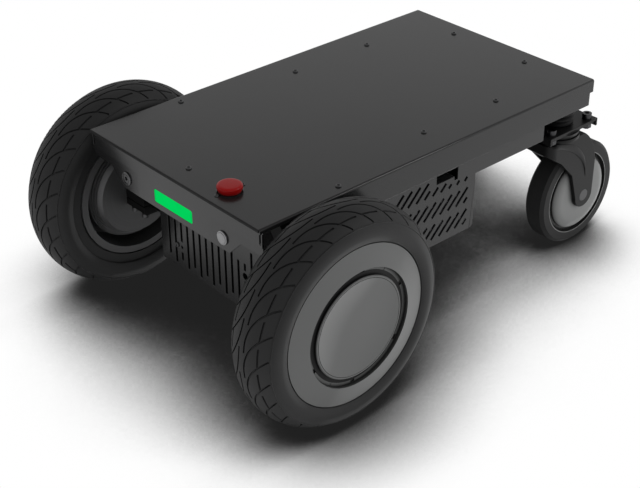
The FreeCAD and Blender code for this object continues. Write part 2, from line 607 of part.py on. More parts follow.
def make_battery_box():
    """Open-topped sheet box between the wheels; its front wall is the grille and reaches up to the deck."""
    body = new_body("battery_box")
    wall, half = D.sheet, BOX_HALF
    extrude(body, "outside", "XY_Plane", [rectangle(BOX_REAR, -half, BOX_FRONT, half)],
            D.ground_clearance, BOX_TOP)
    extrude(body, "inside", "XY_Plane",
            [rectangle(BOX_REAR + wall, wall - half, BOX_FRONT - wall, half - wall)],
            D.ground_clearance + wall, BOX_TOP + CLEAR, cut=True)
    extrude(body, "front_top", "YZ_Plane", [rectangle(-half, BOX_TOP, half, DECK_UNDER - D.box_front_drop)],
            BOX_FRONT - wall, BOX_FRONT)
    for word, side in SIDES.items():
        span = across(side, half, half + D.box_flange)
        extrude(body, f"flange_{word}", "XY_Plane",
                [rectangle(BOX_REAR, span[0], CROSS_FRONT - D.cross_width, span[1])],
                BOX_TOP - wall, BOX_TOP)
    slots = []
    for number in range(int(D.grille_count.value)):
        y = grille_y(number)
        low = D.ground_clearance + (D.grille_low_long if number % 2 else D.grille_low_short)
        slots += grille_slot(y - D.grille_slot / 2, y + D.grille_slot / 2, low, number)
    slots.append(circle(grille_y(D.gland_slot), D.ground_clearance + D.gland_rise, D.gland_radius))
    slots.append(circle(grille_y(D.grille_bolt_slot), D.ground_clearance + D.grille_bolt_rise,
                        D.screw_radius + D.screw_gap))
    extrude(body, "grille", "YZ_Plane", slots, BOX_FRONT - wall - CLEAR, BOX_FRONT + CLEAR, cut=True)


def grille_y(number):
    """Where the middle of a grille slot is across the box, counted from the right."""
    span = (BOX_HALF - D.grille_edge) * 2
    return span / (D.grille_count - 1) * number - span / 2


def grille_slot(left, right, low, number):
    """One upright slot; two of them are broken by a land round a bolt and round a cable hole."""
    gland = int(D.gland_slot.value)
    lands = {int(D.grille_bolt_slot.value): D.ground_clearance + D.grille_bolt_rise,
             gland: D.ground_clearance + D.gland_rise}
    top = D.ground_clearance + (D.grille_top_low if number in (gland - 1, gland) else D.grille_top)
    if number not in lands:
        return [rectangle(left, low, right, top)]
    middle = lands[number]
    return [rectangle(left, low, right, middle - D.grille_land),
            rectangle(left, middle + D.grille_land, right, top)]


def make_battery_pack():
    """Battery case on the box floor, with chamfered edges and stiffening ribs across its lid."""
    body = new_body("battery_pack")
    rear = BOX_REAR + D.sheet + D.battery_rear_gap
    floor, chamfer = D.ground_clearance + D.sheet, D.battery_chamfer
    top, half = floor + D.battery_height, BOX_HALF - D.sheet - D.battery_side_gap
    section = loop([(-half, floor), (half, floor), (half, top - chamfer), (half - chamfer, top),
                    (chamfer - half, top), (-half, top - chamfer)])
    extrude(body, "case", "YZ_Plane", [section], rear, rear + D.battery_length)
    start = rear + D.battery_rib_pitch / 2
    rib = extrude(body, "rib", "XY_Plane",
                  [rectangle(start, chamfer - half, start + D.battery_rib_width, half - chamfer)],
                  top, top + D.battery_rib)
    repeat_along(body, rib, "X_Axis", D.battery_rib_pitch, D.battery_ribs)


def hollow_bar(body, role, y0, z0, y1, z1, wall, low, high):
    """A rectangular tube."""
    extrude(body, "tube", role, [rectangle(y0, z0, y1, z1),
                                 rectangle(y0 + wall, z0 + wall, y1 - wall, z1 - wall)], low, high)


def make_frame():
    """Two rails under the deck, the rear beam that carries the casters, the cross bar between the motors."""
    beam_rear = DECK_REAR + D.beam_inset
    beam_front = beam_rear + D.beam_length
    rear = new_body("rear_beam")
    hollow_bar(rear, "XZ_Plane", beam_rear, SKIRT_EDGE, beam_front, DECK_UNDER, D.beam_wall,
               D.beam_end_gap - DECK_HALF, DECK_HALF - D.beam_end_gap)
    holes = [circle(*rear_screw_spot(side), D.screw_radius + D.screw_gap) for side in SIDES.values()]
    extrude(rear, "holes", "XY_Plane", holes, DECK_UNDER - D.beam_wall - CLEAR, DECK_UNDER + CLEAR, cut=True)
    cross_low = DECK_UNDER - D.rail_width
    cross_rear = CROSS_FRONT - D.cross_width
    cross = new_body("cross_bar")
    hollow_bar(cross, "XZ_Plane", cross_rear, cross_low, CROSS_FRONT, DECK_UNDER, D.rail_wall,
               -MOUNT_INNER, MOUNT_INNER)
    for word, side in SIDES.items():
        rail = new_body(f"frame_rail_{word}")
        span = across(side, RAIL_Y - D.rail_width / 2, RAIL_Y + D.rail_width / 2)
        hollow_bar(rail, "YZ_Plane", span[0], DECK_UNDER - D.rail_width, span[1], DECK_UNDER, D.rail_wall,
                   beam_front, cross_rear)
        holes = [circle(x, RAIL_Y * side, D.screw_radius + D.screw_gap)
                 for x in (D.screw_mid_x, D.screw_aft_x)]
        extrude(rail, "holes", "XY_Plane", holes, DECK_UNDER - D.rail_wall - CLEAR, DECK_UNDER + CLEAR,
                cut=True)


def clamp_bolt_spots(side):
    reach = D.axle_radius + D.clamp_bolt_radius + D.clamp_bolt_gap
    return [(AXLE_X + reach * fore, (MOUNT_INNER + D.clamp_bolt_inset + D.clamp_bolt_pitch * step) * side)
            for fore in (1, -1) for step in (0, 1)]


def make_motor_mount(word, side):
    """Bracket from the deck down to the axle: foot under the deck, tapered web and the upper clamp half."""
    body = new_body(f"motor_mount_{word}")
    split = AXLE_Z + D.clamp_split
    foot_low = DECK_UNDER - D.mount_foot
    waist = AXLE_Z + D.mount_waist
    rear, front = AXLE_X - D.mount_foot_rear, AXLE_X + D.mount_foot_front
    outline = loop(
        [(AXLE_X - D.clamp_half, split), (AXLE_X + D.clamp_half, split), (AXLE_X + D.clamp_half, waist),
         (front, foot_low), (front, DECK_UNDER), (rear, DECK_UNDER), (rear, foot_low),
         (AXLE_X - D.clamp_half, waist)])
    extrude(body, "bracket", "XZ_Plane", [outline], *across(side, MOUNT_INNER, MOUNT_OUTER))
    clamp_top = AXLE_Z + D.clamp_drop
    extrude(body, "clamp", "XZ_Plane",
            [rectangle(AXLE_X - D.clamp_half, split, AXLE_X + D.clamp_half, clamp_top + D.clamp_land)],
            *across(side, MOUNT_OUTER, CLAMP_OUTER))
    inset = D.mount_web_inset
    pocket = loop(
        [(AXLE_X - D.clamp_half + inset, clamp_top + inset),
         (AXLE_X + D.clamp_half - inset, clamp_top + inset), (AXLE_X + D.clamp_half - inset, waist),
         (front - inset * 2, foot_low - inset), (rear + inset * 3, foot_low - inset),
         (AXLE_X - D.clamp_half + inset, waist)])
    extrude(body, "web", "XZ_Plane", [pocket],
            *across(side, MOUNT_INNER + D.mount_web, MOUNT_OUTER + CLEAR), cut=True)
    extrude(body, "bore", "XZ_Plane", [circle(AXLE_X, AXLE_Z, D.axle_radius + D.running_gap)],
            *across(side, MOUNT_INNER - CLEAR, CLAMP_OUTER + CLEAR), cut=True)
    bolts = [circle(x, y, D.clamp_bolt_radius + D.bolt_gap) for x, y in clamp_bolt_spots(side)]
    extrude(body, "bolt_holes", "XY_Plane", bolts, split - CLEAR, split + D.bolt_reach + CLEAR, cut=True)
    extrude(body, "screw_hole", "XY_Plane",
            [circle(*front_screw_spot(side), D.screw_radius + D.screw_gap)],
            foot_low - D.screw_length, DECK_UNDER + CLEAR, cut=True)


def make_axle_clamp(word, side):
    """Lower clamp half: a block with chamfered lower edges that four bolts pull up against the axle."""
    body = new_body(f"axle_clamp_{word}")
    split = AXLE_Z - D.clamp_split
    chamfer, half = D.clamp_chamfer, D.clamp_half
    section = loop(
        [(AXLE_X - half + chamfer, CLAMP_LOW), (AXLE_X + half - chamfer, CLAMP_LOW),
         (AXLE_X + half, CLAMP_LOW + chamfer), (AXLE_X + half, split), (AXLE_X - half, split),
         (AXLE_X - half, CLAMP_LOW + chamfer)])
    extrude(body, "block", "XZ_Plane", [section], *across(side, MOUNT_INNER, CLAMP_OUTER))
    extrude(body, "bore", "XZ_Plane", [circle(AXLE_X, AXLE_Z, D.axle_radius + D.running_gap)],
            *across(side, MOUNT_INNER - CLEAR, CLAMP_OUTER + CLEAR), cut=True)
    bolts = [circle(x, y, D.clamp_bolt_radius + D.bolt_gap) for x, y in clamp_bolt_spots(side)]
    extrude(body, "bolt_holes", "XY_Plane", bolts, CLAMP_LOW - CLEAR, split + CLEAR, cut=True)


def make_clamp_bolts():
    """The eight cap screws of the two axle clamps."""
    body = new_body("clamp_bolts")
    spots = [spot for side in SIDES.values() for spot in clamp_bolt_spots(side)]
    extrude(body, "shanks", "XY_Plane", [circle(x, y, D.clamp_bolt_radius) for x, y in spots],
            CLAMP_LOW, AXLE_Z + D.clamp_split + D.bolt_reach)
    extrude(body, "heads", "XY_Plane", [circle(x, y, D.clamp_head_radius) for x, y in spots],
            CLAMP_LOW - D.clamp_head, CLAMP_LOW)


def make_drive_controller(word, side):
    """Finned motor controller that stands on the floor of the side pod, fins towards the slots."""
    body = new_body(f"drive_controller_{word}")
    rear = POD_REAR + D.drive_rear_gap
    floor = POD_LOW + D.sheet
    outer = DECK_HALF - D.sheet - D.drive_outer_gap
    span = across(side, POD_INNER + D.drive_inner_gap, outer)
    extrude(body, "case", "XY_Plane", [rectangle(rear, span[0], rear + D.drive_length, span[1])],
            floor, floor + D.drive_height)
    groove = across(side, outer - D.drive_fin_depth, outer + CLEAR)
    start = rear + D.drive_fin
    gap = D.drive_fin_pitch - D.drive_fin
    cut = extrude(body, "groove", "XY_Plane", [rectangle(start, groove[0], start + gap, groove[1])],
                  floor + D.drive_fin, floor + D.drive_height + CLEAR, cut=True)
    repeat_along(body, cut, "X_Axis", D.drive_fin_pitch, D.drive_fins)


def half_turned(points):
    """The same outline turned half round, for the other side of the tread."""
    return [(-x, -y) for x, y in points]


def make_tread_cutter(word, place, crown, crown_radius):
    """Everything that the mould leaves open in the tread: long grooves that sweep from the middle of the
    tyre out to its shoulder, and a short groove along the shoulder that starts from each. The tread looks
    the same when the tyre is turned round.
    """
    body = new_body(f"tread_cutter_{word}", *place, node=False)
    half, start, bend = D.tread_groove / 2, D.tread_start, D.tread_bend
    turn_sine, turn_cosine = D.tread_turn.sine(), D.tread_turn.cosine()
    end_x, end_u = D.tread_lead_x - bend * turn_sine, start + bend * (1 - turn_cosine)
    lead_x = D.tread_lead_x + D.tread_lead
    sweep = [(lead_x, start - half), (D.tread_lead_x, start - half),
             (end_x - half * turn_sine, end_u - half * turn_cosine),
             (end_x + half * turn_sine, end_u + half * turn_cosine),
             (D.tread_lead_x, start + half), (lead_x, start + half)]
    arcs = {1: (bend + half, "right"), 3: (bend - half, "left")}
    low, high = AXLE_Z - D.tread_reach, AXLE_Z + D.tread_depth
    outlines = [loop(sweep, arcs), loop(half_turned(sweep), arcs)]
    long_grooves = extrude(body, "long", "XY_Plane", outlines, low, high)
    inner, outer = D.side_groove - half, D.side_groove + half
    far_x = D.side_groove_x + D.side_groove_length
    short = [(-far_x, inner), (-D.side_groove_x, inner), (-D.side_groove_x, outer), (-far_x, outer)]
    short_grooves = extrude(body, "short", "XY_Plane", [loop(short), loop(half_turned(short))], low, high)
    repeat_round(body, [long_grooves, short_grooves], "Y_Axis", D.groove_count)
    floor_radius = crown_radius - D.tread_depth
    edge = AXLE_Z - crown_radius + (floor_radius * floor_radius - crown * crown).root()
    floor = loop([(-crown, 0), (crown, 0), (crown, edge), (-crown, edge)], {2: (floor_radius, "left")})
    revolve(body, "floor", [floor], cut=True)
    return body


def spoke(angle, half_width, inner, outer):
    """A narrow outline that points outward from the axle, at an angle from straight ahead."""
    ahead, up = angle.cosine(), angle.sine()
    corners = ((inner, -half_width), (outer, -half_width), (outer, half_width), (inner, half_width))
    return loop([(ahead * reach - up * aside, up * reach + ahead * aside) for reach, aside in corners])


def make_drive_wheel(word, side):
    """Pneumatic tyre on a rim that is also the motor's rotor shell, with covers, bearings, axle and stator.

    Outlines are drawn in the wheel's own plane: first value outboard from the middle, second value radius.
    """
    place = (AXLE_X, WHEEL_Y * side, AXLE_Z, side < 0)
    half, radius = D.tyre_width / 2, AXLE_Z
    bead = radius - D.section_height
    lip, ledge = bead + D.lip_rise, bead + D.lip_rise - D.ledge_drop
    bead_outer, crown = half - D.bead_inset, half - D.crown_inset
    flange = bead + D.flange_rise
    crown_radius = (crown * crown + D.crown_drop * D.crown_drop) / (2 * D.crown_drop)
    outer_half = [(bead_outer - D.bead_width, bead), (bead_outer, bead), (bead_outer, flange),
                  (half - D.ledge_inset, flange), (half - D.ledge_inset, ledge),
                  (half - D.lip_inset, lip), (crown, radius - D.crown_drop)]
    casing_half, casing_side = half - D.casing_side_inset, bead + D.casing_side_rise
    casing_top = radius - D.casing_crown_wall
    inner = [(-casing_half, casing_side), (-D.casing_crown, casing_top), (D.casing_crown, casing_top),
             (casing_half, casing_side)]
    points = outer_half + [(-u, r) for u, r in reversed(outer_half)] + inner
    casing = new_body(f"tyre_casing_{word}", *place, node=False)
    revolve(casing, "section", [loop(points, {5: (D.shoulder_radius, "left"), 6: (crown_radius, "left"),
                                              7: (D.shoulder_radius, "left")})])
    ridges = [circle(crown * way, radius - D.crown_drop, D.ridge_radius) for way in (1, -1)]
    revolve(casing, "ridges", ridges)
    tyre = doc.addObject("Part::Cut", f"tyre_{word}")
    tyre.Label = f"tyre_{word}"
    tyre.Base = casing
    tyre.Tool = make_tread_cutter(word, place, crown, crown_radius)
    nodes.append(tyre)

    seat = bead - D.bead_gap
    edge = bead_outer + D.bead_gap
    far = edge + D.rim_flange
    barrel = bead - D.rim_wall
    shell = barrel - D.shell_gap
    shell_inner = shell - D.shell_thick
    rim = new_body(f"wheel_rim_{word}", *place)
    revolve(rim, "barrel", [loop(
        [(far, flange), (edge, flange), (edge, seat), (-edge, seat),
         (-edge, bead + D.rim_inboard_rise), (-far, bead + D.rim_inboard_rise), (-far, barrel),
         (D.shell_wall_inner, barrel), (D.shell_wall_inner, shell), (-D.shell_inboard, shell),
         (-D.shell_inboard, shell_inner), (D.shell_wall_inner, shell_inner),
         (D.shell_wall_inner, D.hub_boss_radius), (D.hub_boss_end, D.hub_boss_radius),
         (D.hub_boss_end, D.bearing_outer), (D.shell_wall_outer, D.bearing_outer),
         (D.shell_wall_outer, barrel), (far, seat)])])

    bearings = new_body(f"wheel_bearings_{word}", *place)
    bore = D.axle_radius + D.running_gap
    near = D.bearing_far - D.bearing_width
    revolve(bearings, "rings", [rectangle(near, bore, D.bearing_far, D.bearing_outer),
                                rectangle(-D.bearing_far, bore, -near, D.bearing_outer)])

    cover = new_body(f"motor_cover_{word}", *place)
    spigot, spigot_end = shell_inner - D.spigot_gap, D.cover_spigot - D.shell_inboard
    eye = D.axle_radius + D.cover_eye_gap
    step_end, step = D.shell_inboard + D.cover_rim, shell
    stairs = [(-D.shell_inboard, shell), (-step_end, shell)]
    for number in range(int(D.cover_steps.value)):
        step = step - D.step_width
        stairs.append((-step_end, step))
        step_end = step_end + D.step_depth
        stairs.append((-step_end, step))
    face = step_end + D.cover_dome
    revolve(cover, "disc", [loop(
        stairs + [(-face, step - D.cover_bevel), (-face, eye),
                  (-D.bearing_far, eye), (-D.bearing_far, D.bearing_outer), (-near, D.bearing_outer),
                  (-near, D.hub_boss_radius), (spigot_end, D.hub_boss_radius), (spigot_end, spigot),
                  (-D.shell_inboard, spigot)])])

    back = far + D.trim_gap
    trim_inner = bead - D.trim_overlap
    groove, floor = trim_inner - D.groove_width, back + D.groove_floor
    trim = new_body(f"rim_cover_{word}", *place)
    revolve(trim, "ring", [loop(
        [(back, groove), (floor, groove), (floor, trim_inner - D.groove_draft),
         (back + D.trim_crest, trim_inner), (back + D.trim_edge, ledge - D.trim_inset),
         (back, ledge - D.trim_inset)])])
    margin = D.notch_margin
    notch = extrude(trim, "notch", "XZ_Plane",
                    [spoke(D.notch_angle, D.notch_width / 2, groove + margin, trim_inner - margin)],
                    floor - D.notch_depth, floor + CLEAR, cut=True)
    repeat_round(trim, [notch], "Y_Axis", D.notch_count)
    joint = extrude(trim, "joint", "XZ_Plane",
                    [spoke(D.joint_angle, D.joint_width / 2, groove - CLEAR, trim_inner - D.groove_draft)],
                    floor - D.joint_depth, floor + CLEAR, cut=True)
    repeat_round(trim, [joint], "Y_Axis", D.joint_count)

    disc = new_body(f"hub_disc_{word}", *place)
    disc_radius, disc_edge = groove - D.disc_gap, back + D.disc_edge
    line, line_floor = disc_radius - D.disc_border, disc_edge - D.disc_line
    foot, crest = line - D.disc_line, disc_edge + D.disc_rise
    dome = (foot * foot + D.disc_rise * D.disc_rise) / (2 * D.disc_rise)
    revolve(disc, "dome", [loop(
        [(D.shell_wall_outer, D.disc_spigot_inner), (D.shell_wall_outer, D.disc_spigot_outer),
         (back, D.disc_spigot_outer), (back, disc_radius), (disc_edge - D.disc_bevel, disc_radius),
         (disc_edge, disc_radius - D.disc_bevel), (disc_edge, line), (line_floor, line),
         (line_floor, foot), (disc_edge, foot), (crest, 0), (crest - D.disc_skin, 0),
         (crest - D.disc_skin, D.disc_spigot_inner)],
        {9: (dome, "right")})])

    axle = new_body(f"axle_{word}", *place)
    inner_end = WHEEL_Y - MOUNT_INNER + D.axle_inboard_reach
    revolve(axle, "shaft", [rectangle(-inner_end, 0, D.axle_outer_end, D.axle_radius)])

    stator = new_body(f"stator_{word}", *place)
    stator_radius = shell_inner - D.air_gap
    low, high = -D.stator_inner_end, D.stator_outer_end
    revolve(stator, "core", [rectangle(low, D.axle_radius, high, stator_radius)])
    slot_half = D.stator_slot / 2
    slot = extrude(stator, "slot", "XZ_Plane",
                   [rectangle(-slot_half, D.hub_boss_radius, slot_half, stator_radius + CLEAR)],
                   low - CLEAR, high + CLEAR, cut=True)
    repeat_round(stator, [slot], "Y_Axis", D.stator_slots)


def caster_bolt_spots():
    return [(D.hole_x / 2 * fore, D.hole_y / 2 * across_sign) for fore in (1, -1) for across_sign in (1, -1)]


def make_caster(word, side):
    """Swivel caster hung from the rear beam; its pieces are drawn about the swivel axis."""
    place = (SWIVEL_X, CASTER_Y * side, 0)
    buffer = new_body(f"caster_buffer_{word}", *place)
    step = D.buffer_height / D.buffer_ribs
    ribs = []
    for number in range(int(D.buffer_ribs.value)):
        low = PLATE_TOP + step * number
        ribs += [(D.buffer_waist, low), (D.buffer_radius, low + D.buffer_rib),
                 (D.buffer_radius, low + step - D.buffer_rib)]
    ribs.append((D.buffer_waist, SKIRT_EDGE))
    revolve(buffer, "ribbed", [loop([(0, PLATE_TOP)] + ribs + [(0, SKIRT_EDGE)])], "V_Axis", "XZ_Plane")

    half_long, half_wide = D.plate_length / 2, D.plate_width / 2
    plate = new_body(f"caster_plate_{word}", *place)
    holes = [circle(x, y, D.caster_bolt_radius + D.bolt_gap) for x, y in caster_bolt_spots()]
    extrude(plate, "plate", "XY_Plane", [rectangle(-half_long, -half_wide, half_long, half_wide)] + holes,
            PLATE_LOW, PLATE_TOP)
    lips = [rectangle(-half_long, -half_wide, D.plate_thick - half_long, half_wide),
            rectangle(half_long - D.plate_thick, -half_wide, half_long, half_wide)]
    extrude(plate, "lips", "XY_Plane", lips, PLATE_TOP - D.lip_depth, PLATE_LOW)

    under = PLATE_LOW - D.swivel_plate
    bolts = new_body(f"caster_bolts_{word}", *place)
    spots = caster_bolt_spots()
    nut_low = under - D.nut_height
    extrude(bolts, "shanks", "XY_Plane", [circle(x, y, D.caster_bolt_radius) for x, y in spots],
            nut_low - D.bolt_tail, PLATE_TOP)
    extrude(bolts, "heads", "XY_Plane", [circle(x, y, D.caster_head_radius) for x, y in spots],
            PLATE_TOP, PLATE_TOP + D.caster_head)
    extrude(bolts, "nuts", "XY_Plane", [hexagon(x, y, D.nut_radius) for x, y in spots], nut_low, under)
    extrude(bolts, "sockets", "XY_Plane", [hexagon(x, y, D.hex_socket) for x, y in spots],
            PLATE_TOP + D.caster_head - D.hex_depth, PLATE_TOP + D.caster_head + CLEAR, cut=True)

    swivel = new_body(f"swivel_plate_{word}", *place)
    half_long, half_wide = D.swivel_plate_length / 2, D.swivel_plate_width / 2
    extrude(swivel, "plate", "XY_Plane", [rectangle(-half_long, -half_wide, half_long, half_wide)] + holes,
            under, PLATE_LOW)
    revolve(swivel, "race", [loop(
        [(0, under), (D.race_foot, under), (D.race_radius, RACE_LOW), (D.kingpin_radius, RACE_LOW),
         (D.kingpin_radius, RACE_LOW - D.kingpin_length), (0, RACE_LOW - D.kingpin_length)])],
        "V_Axis", "XZ_Plane")
    make_caster_fork(word, place)
    make_caster_wheel(word, (CASTER_X, CASTER_Y * side, CASTER_Z))


def hexagon(x, y, radius):
    """Six-sided outline with a corner towards +X."""
    sides = 6
    corners = [math.radians(FULL_TURN / sides * number) for number in range(sides)]
    return loop([(x + radius * math.cos(turn), y + radius * math.sin(turn)) for turn in corners])


def fork_faces():
    """Distances of a leg's inner and outer face from the wheel's middle plane."""
    inner = D.caster_width / 2 + D.fork_side_gap
    return inner, inner + D.fork_leg


def make_caster_fork(word, place):
    """One-piece fork: a crown that turns on the kingpin and two curved legs down to the wheel's axle."""
    body = new_body(f"caster_fork_{word}", *place)
    trail, axle, boss = D.caster_trail, CASTER_Z, D.boss_radius
    crown_low = CROWN_TOP - D.crown_boss
    inner, outer = fork_faces()
    side_view = loop(
        [(D.fork_front, crown_low - D.fork_front_depth), (D.fork_front, crown_low),
         (-D.fork_shoulder, crown_low), (-trail - boss, crown_low - D.fork_back_drop),
         (-trail - boss, axle), (-trail, axle - boss), (boss - trail, axle),
         (D.fork_knee_x - trail, axle + D.fork_knee_z), (D.fork_throat_x - trail, axle + D.fork_throat_z)],
        {2: (D.fork_back_radius, "left"), 4: (boss, "left"), 5: (boss, "left")})
    extrude(body, "side_view", "XZ_Plane", [side_view], -outer, outer)
    extrude(body, "crown", "XY_Plane", [circle(0, 0, D.crown_radius)], crown_low, CROWN_TOP)
    extrude(body, "wheel_space", "XZ_Plane", [circle(-trail, axle, axle + D.wheel_clearance)],
            -inner, inner, cut=True)
    extrude(body, "kingpin_bore", "XY_Plane", [circle(0, 0, D.kingpin_radius + D.running_gap)],
            RACE_LOW - D.kingpin_length - D.race_gap, CROWN_TOP + CLEAR, cut=True)
    extrude(body, "axle_bore", "XZ_Plane", [circle(-trail, axle, D.caster_axle_radius + D.bolt_gap)],
            -outer - CLEAR, outer + CLEAR, cut=True)
    for name, low, high in (("cap_seat_out", outer - D.cap_thick, outer + CLEAR),
                            ("cap_seat_in", -outer - CLEAR, D.cap_thick - outer)):
        extrude(body, name, "XZ_Plane", [circle(-trail, axle, D.cap_radius)], low, high, cut=True)


def make_caster_wheel(word, place):
    """Caster wheel: grey plastic core with a domed face, rubber tread, two bearings and the axle pin."""
    inner, outer = fork_faces()
    axle = new_body(f"caster_axle_{word}", *place)
    revolve(axle, "pin", [loop(
        [(-outer, 0), (-outer, D.cap_radius), (D.cap_thick - outer, D.cap_radius),
         (D.cap_thick - outer, D.caster_axle_radius), (outer - D.cap_thick, D.caster_axle_radius),
         (outer - D.cap_thick, D.cap_radius), (outer, D.cap_radius), (outer, 0)])])

    core = new_body(f"caster_core_{word}", *place)
    rim_half = D.caster_width / 2
    radius = CASTER_Z - D.tread_thick
    ring = radius - D.core_lip
    groove = ring - D.core_groove_width
    hub, face = inner - D.core_hub_gap, rim_half - D.core_inset
    slope = groove - D.core_flat
    dome = (slope * slope + D.core_dome * D.core_dome) / (2 * D.core_dome)
    half = [(hub, D.caster_bearing_outer), (hub, D.core_hub_radius), (face, D.core_hub_radius + D.core_edge),
            (face, D.core_flat), (face - D.core_dome, groove),
            (face - D.core_dome, ring), (rim_half, ring), (rim_half, radius)]
    revolve(core, "disc", [loop(half + [(-u, r) for u, r in reversed(half)],
                                {3: (dome, "left"), 11: (dome, "left")})])

    tread = new_body(f"caster_tyre_{word}", *place)
    edge, chamfer = CASTER_Z, D.tread_chamfer
    seat = radius + D.tread_gap
    revolve(tread, "band", [loop(
        [(-rim_half, seat), (rim_half, seat), (rim_half, edge - chamfer), (rim_half - chamfer, edge),
         (chamfer - rim_half, edge), (-rim_half, edge - chamfer)])])

    bearings = new_body(f"caster_bearings_{word}", *place)
    bore = D.caster_axle_radius + D.running_gap
    near = hub - D.caster_bearing_width
    revolve(bearings, "rings", [rectangle(near, bore, hub, D.caster_bearing_outer),
                                rectangle(-hub, bore, -near, D.caster_bearing_outer)])


def make_emergency_stop():
    """Emergency stop: body under the deck with its collar on top, and the red head that is pressed down."""
    top = D.deck_height
    body = new_body("stop_body", STOP_X, STOP_Y, 0)
    revolve(body, "housing", [loop(
        [(0, DECK_UNDER - D.stop_body_depth), (D.stop_body_radius, DECK_UNDER - D.stop_body_depth),
         (D.stop_body_radius, DECK_UNDER), (D.stop_neck, DECK_UNDER), (D.stop_neck, top),
         (D.stop_collar_radius, top), (D.stop_collar_radius, top + D.stop_collar),
         (D.stop_stem_radius + D.button_gap, top + D.stop_collar),
         (D.stop_stem_radius + D.button_gap, top - D.stop_well), (0, top - D.stop_well)])],
        "V_Axis", "XZ_Plane")
    head = new_body("stop_button", STOP_X, STOP_Y, 0)
    low = top + D.stop_collar + D.stop_travel + D.stop_travel_gap
    rim = low + D.stop_head
    revolve(head, "mushroom", [loop(
        [(0, low - D.stop_stem), (D.stop_stem_radius, low - D.stop_stem), (D.stop_stem_radius, low),
         (D.stop_head_radius, low), (D.stop_head_radius, rim), (D.stop_crown_radius, rim + D.stop_dome),
         (0, rim + D.stop_dome)],
        {4: (D.stop_edge_radius, "left")})], "V_Axis", "XZ_Plane")


def make_deck_screws():
    """Button-head screws of the deck and the two small ones beside the emergency stop."""
    body = new_body("deck_screws")
    top = D.deck_height
    spots, small = screw_spots(), stop_screw_spots()
    extrude(body, "shanks", "XY_Plane", [circle(x, y, D.screw_radius) for x, y in spots],
            top - D.screw_length, top)
    extrude(body, "heads", "XY_Plane", [circle(x, y, D.screw_head_radius) for x, y in spots],
            top, top + D.screw_head - D.screw_dome)
    extrude(body, "domes", "XY_Plane", [circle(x, y, D.screw_head_radius - D.screw_dome) for x, y in spots],
            top + D.screw_head - D.screw_dome, top + D.screw_head)
    extrude(body, "small_shanks", "XY_Plane", [circle(x, y, D.stop_screw_radius) for x, y in small],
            DECK_UNDER - D.screw_head, top)
    extrude(body, "small_heads", "XY_Plane", [circle(x, y, D.stop_screw_head) for x, y in small],
            top, top + D.screw_head - D.screw_dome)


make_top_cover()
make_front_panel()
make_deck_seal()
make_status_light()
make_power_button()
make_charge_port()
make_battery_box()
make_battery_pack()
make_frame()
make_clamp_bolts()
make_emergency_stop()
make_deck_screws()
for word, side in SIDES.items():
    make_side_panel(word, side)
    make_motor_mount(word, side)
    make_axle_clamp(word, side)
    make_drive_controller(word, side)
    make_drive_wheel(word, side)
    make_caster(word, side)
doc.recompute()

for item in doc.Objects:
    if "Invalid" in item.State or "Error" in item.State:
        raise RuntimeError(f"{item.Label} failed: {item.State}")
    base = getattr(item, "BaseFeature", None)
    if item.TypeId == "PartDesign::Pocket" and base and item.Shape.Volume >= base.Shape.Volume:
        raise RuntimeError(f"{item.Label} cuts nothing")
for body in nodes:
    if body.Shape.isNull() or not body.Shape.isValid():
        raise RuntimeError(f"{body.Label} has no valid shape")

os.makedirs("parts", exist_ok=True)
for body in nodes:
    body.Shape.exportStep(os.path.join("parts", f"{body.Label}.step"))
print(len(nodes), "nodes written")
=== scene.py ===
# %% [markdown]
# # A mobile robot platform
# The real object is a low robot base: a black powder-coated deck, two big hub-motor wheels in front and two
# swivel casters behind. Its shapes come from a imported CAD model, which is the frame that everything below
# sits on. This lesson gives that frame its camera, its light, its finishes and the small pieces that a CAD
# model leaves plain.

# %% Load the frame
import json
import math

import bmesh
import bpy
from mathutils import Matrix, Vector


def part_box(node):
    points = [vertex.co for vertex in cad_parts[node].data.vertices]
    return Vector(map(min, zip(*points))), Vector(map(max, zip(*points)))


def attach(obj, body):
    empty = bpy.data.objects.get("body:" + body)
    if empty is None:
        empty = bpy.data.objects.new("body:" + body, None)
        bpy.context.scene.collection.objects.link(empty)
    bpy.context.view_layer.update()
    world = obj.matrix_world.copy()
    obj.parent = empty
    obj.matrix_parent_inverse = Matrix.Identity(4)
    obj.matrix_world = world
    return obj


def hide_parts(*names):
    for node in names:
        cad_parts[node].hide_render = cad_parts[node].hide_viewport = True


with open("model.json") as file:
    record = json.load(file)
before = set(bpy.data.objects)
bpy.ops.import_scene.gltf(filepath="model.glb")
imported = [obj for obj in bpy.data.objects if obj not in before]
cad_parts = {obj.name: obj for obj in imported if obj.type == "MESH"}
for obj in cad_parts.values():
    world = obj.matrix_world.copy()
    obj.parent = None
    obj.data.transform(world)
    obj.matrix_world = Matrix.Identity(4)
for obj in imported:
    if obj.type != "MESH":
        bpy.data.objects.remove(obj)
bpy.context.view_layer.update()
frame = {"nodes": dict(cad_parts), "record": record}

MM = 0.001
scene = bpy.context.scene
nodes = frame["nodes"]

# %% [markdown]
# ## The camera
# A product picture like this one is taken with a long lens from above the front left corner. The camera
# could be placed by eye, but the straight edges of the deck fix it much better: position, turn, tilt and
# lens are the values that put the deck's corners and the wheel centres where the picture has them. The
# three directions of the camera are written as the columns of its matrix.

# %% Place the camera
IMAGE_WIDTH = 640
FOCAL_PIXELS = 1379.48
SENSOR = 36.0
TURN, TILT, ROLL = (math.radians(angle) for angle in (228.215, -31.714, -0.213))
CAMERA_SPOT = Vector((1.1128, 1.1727, 1.0427))

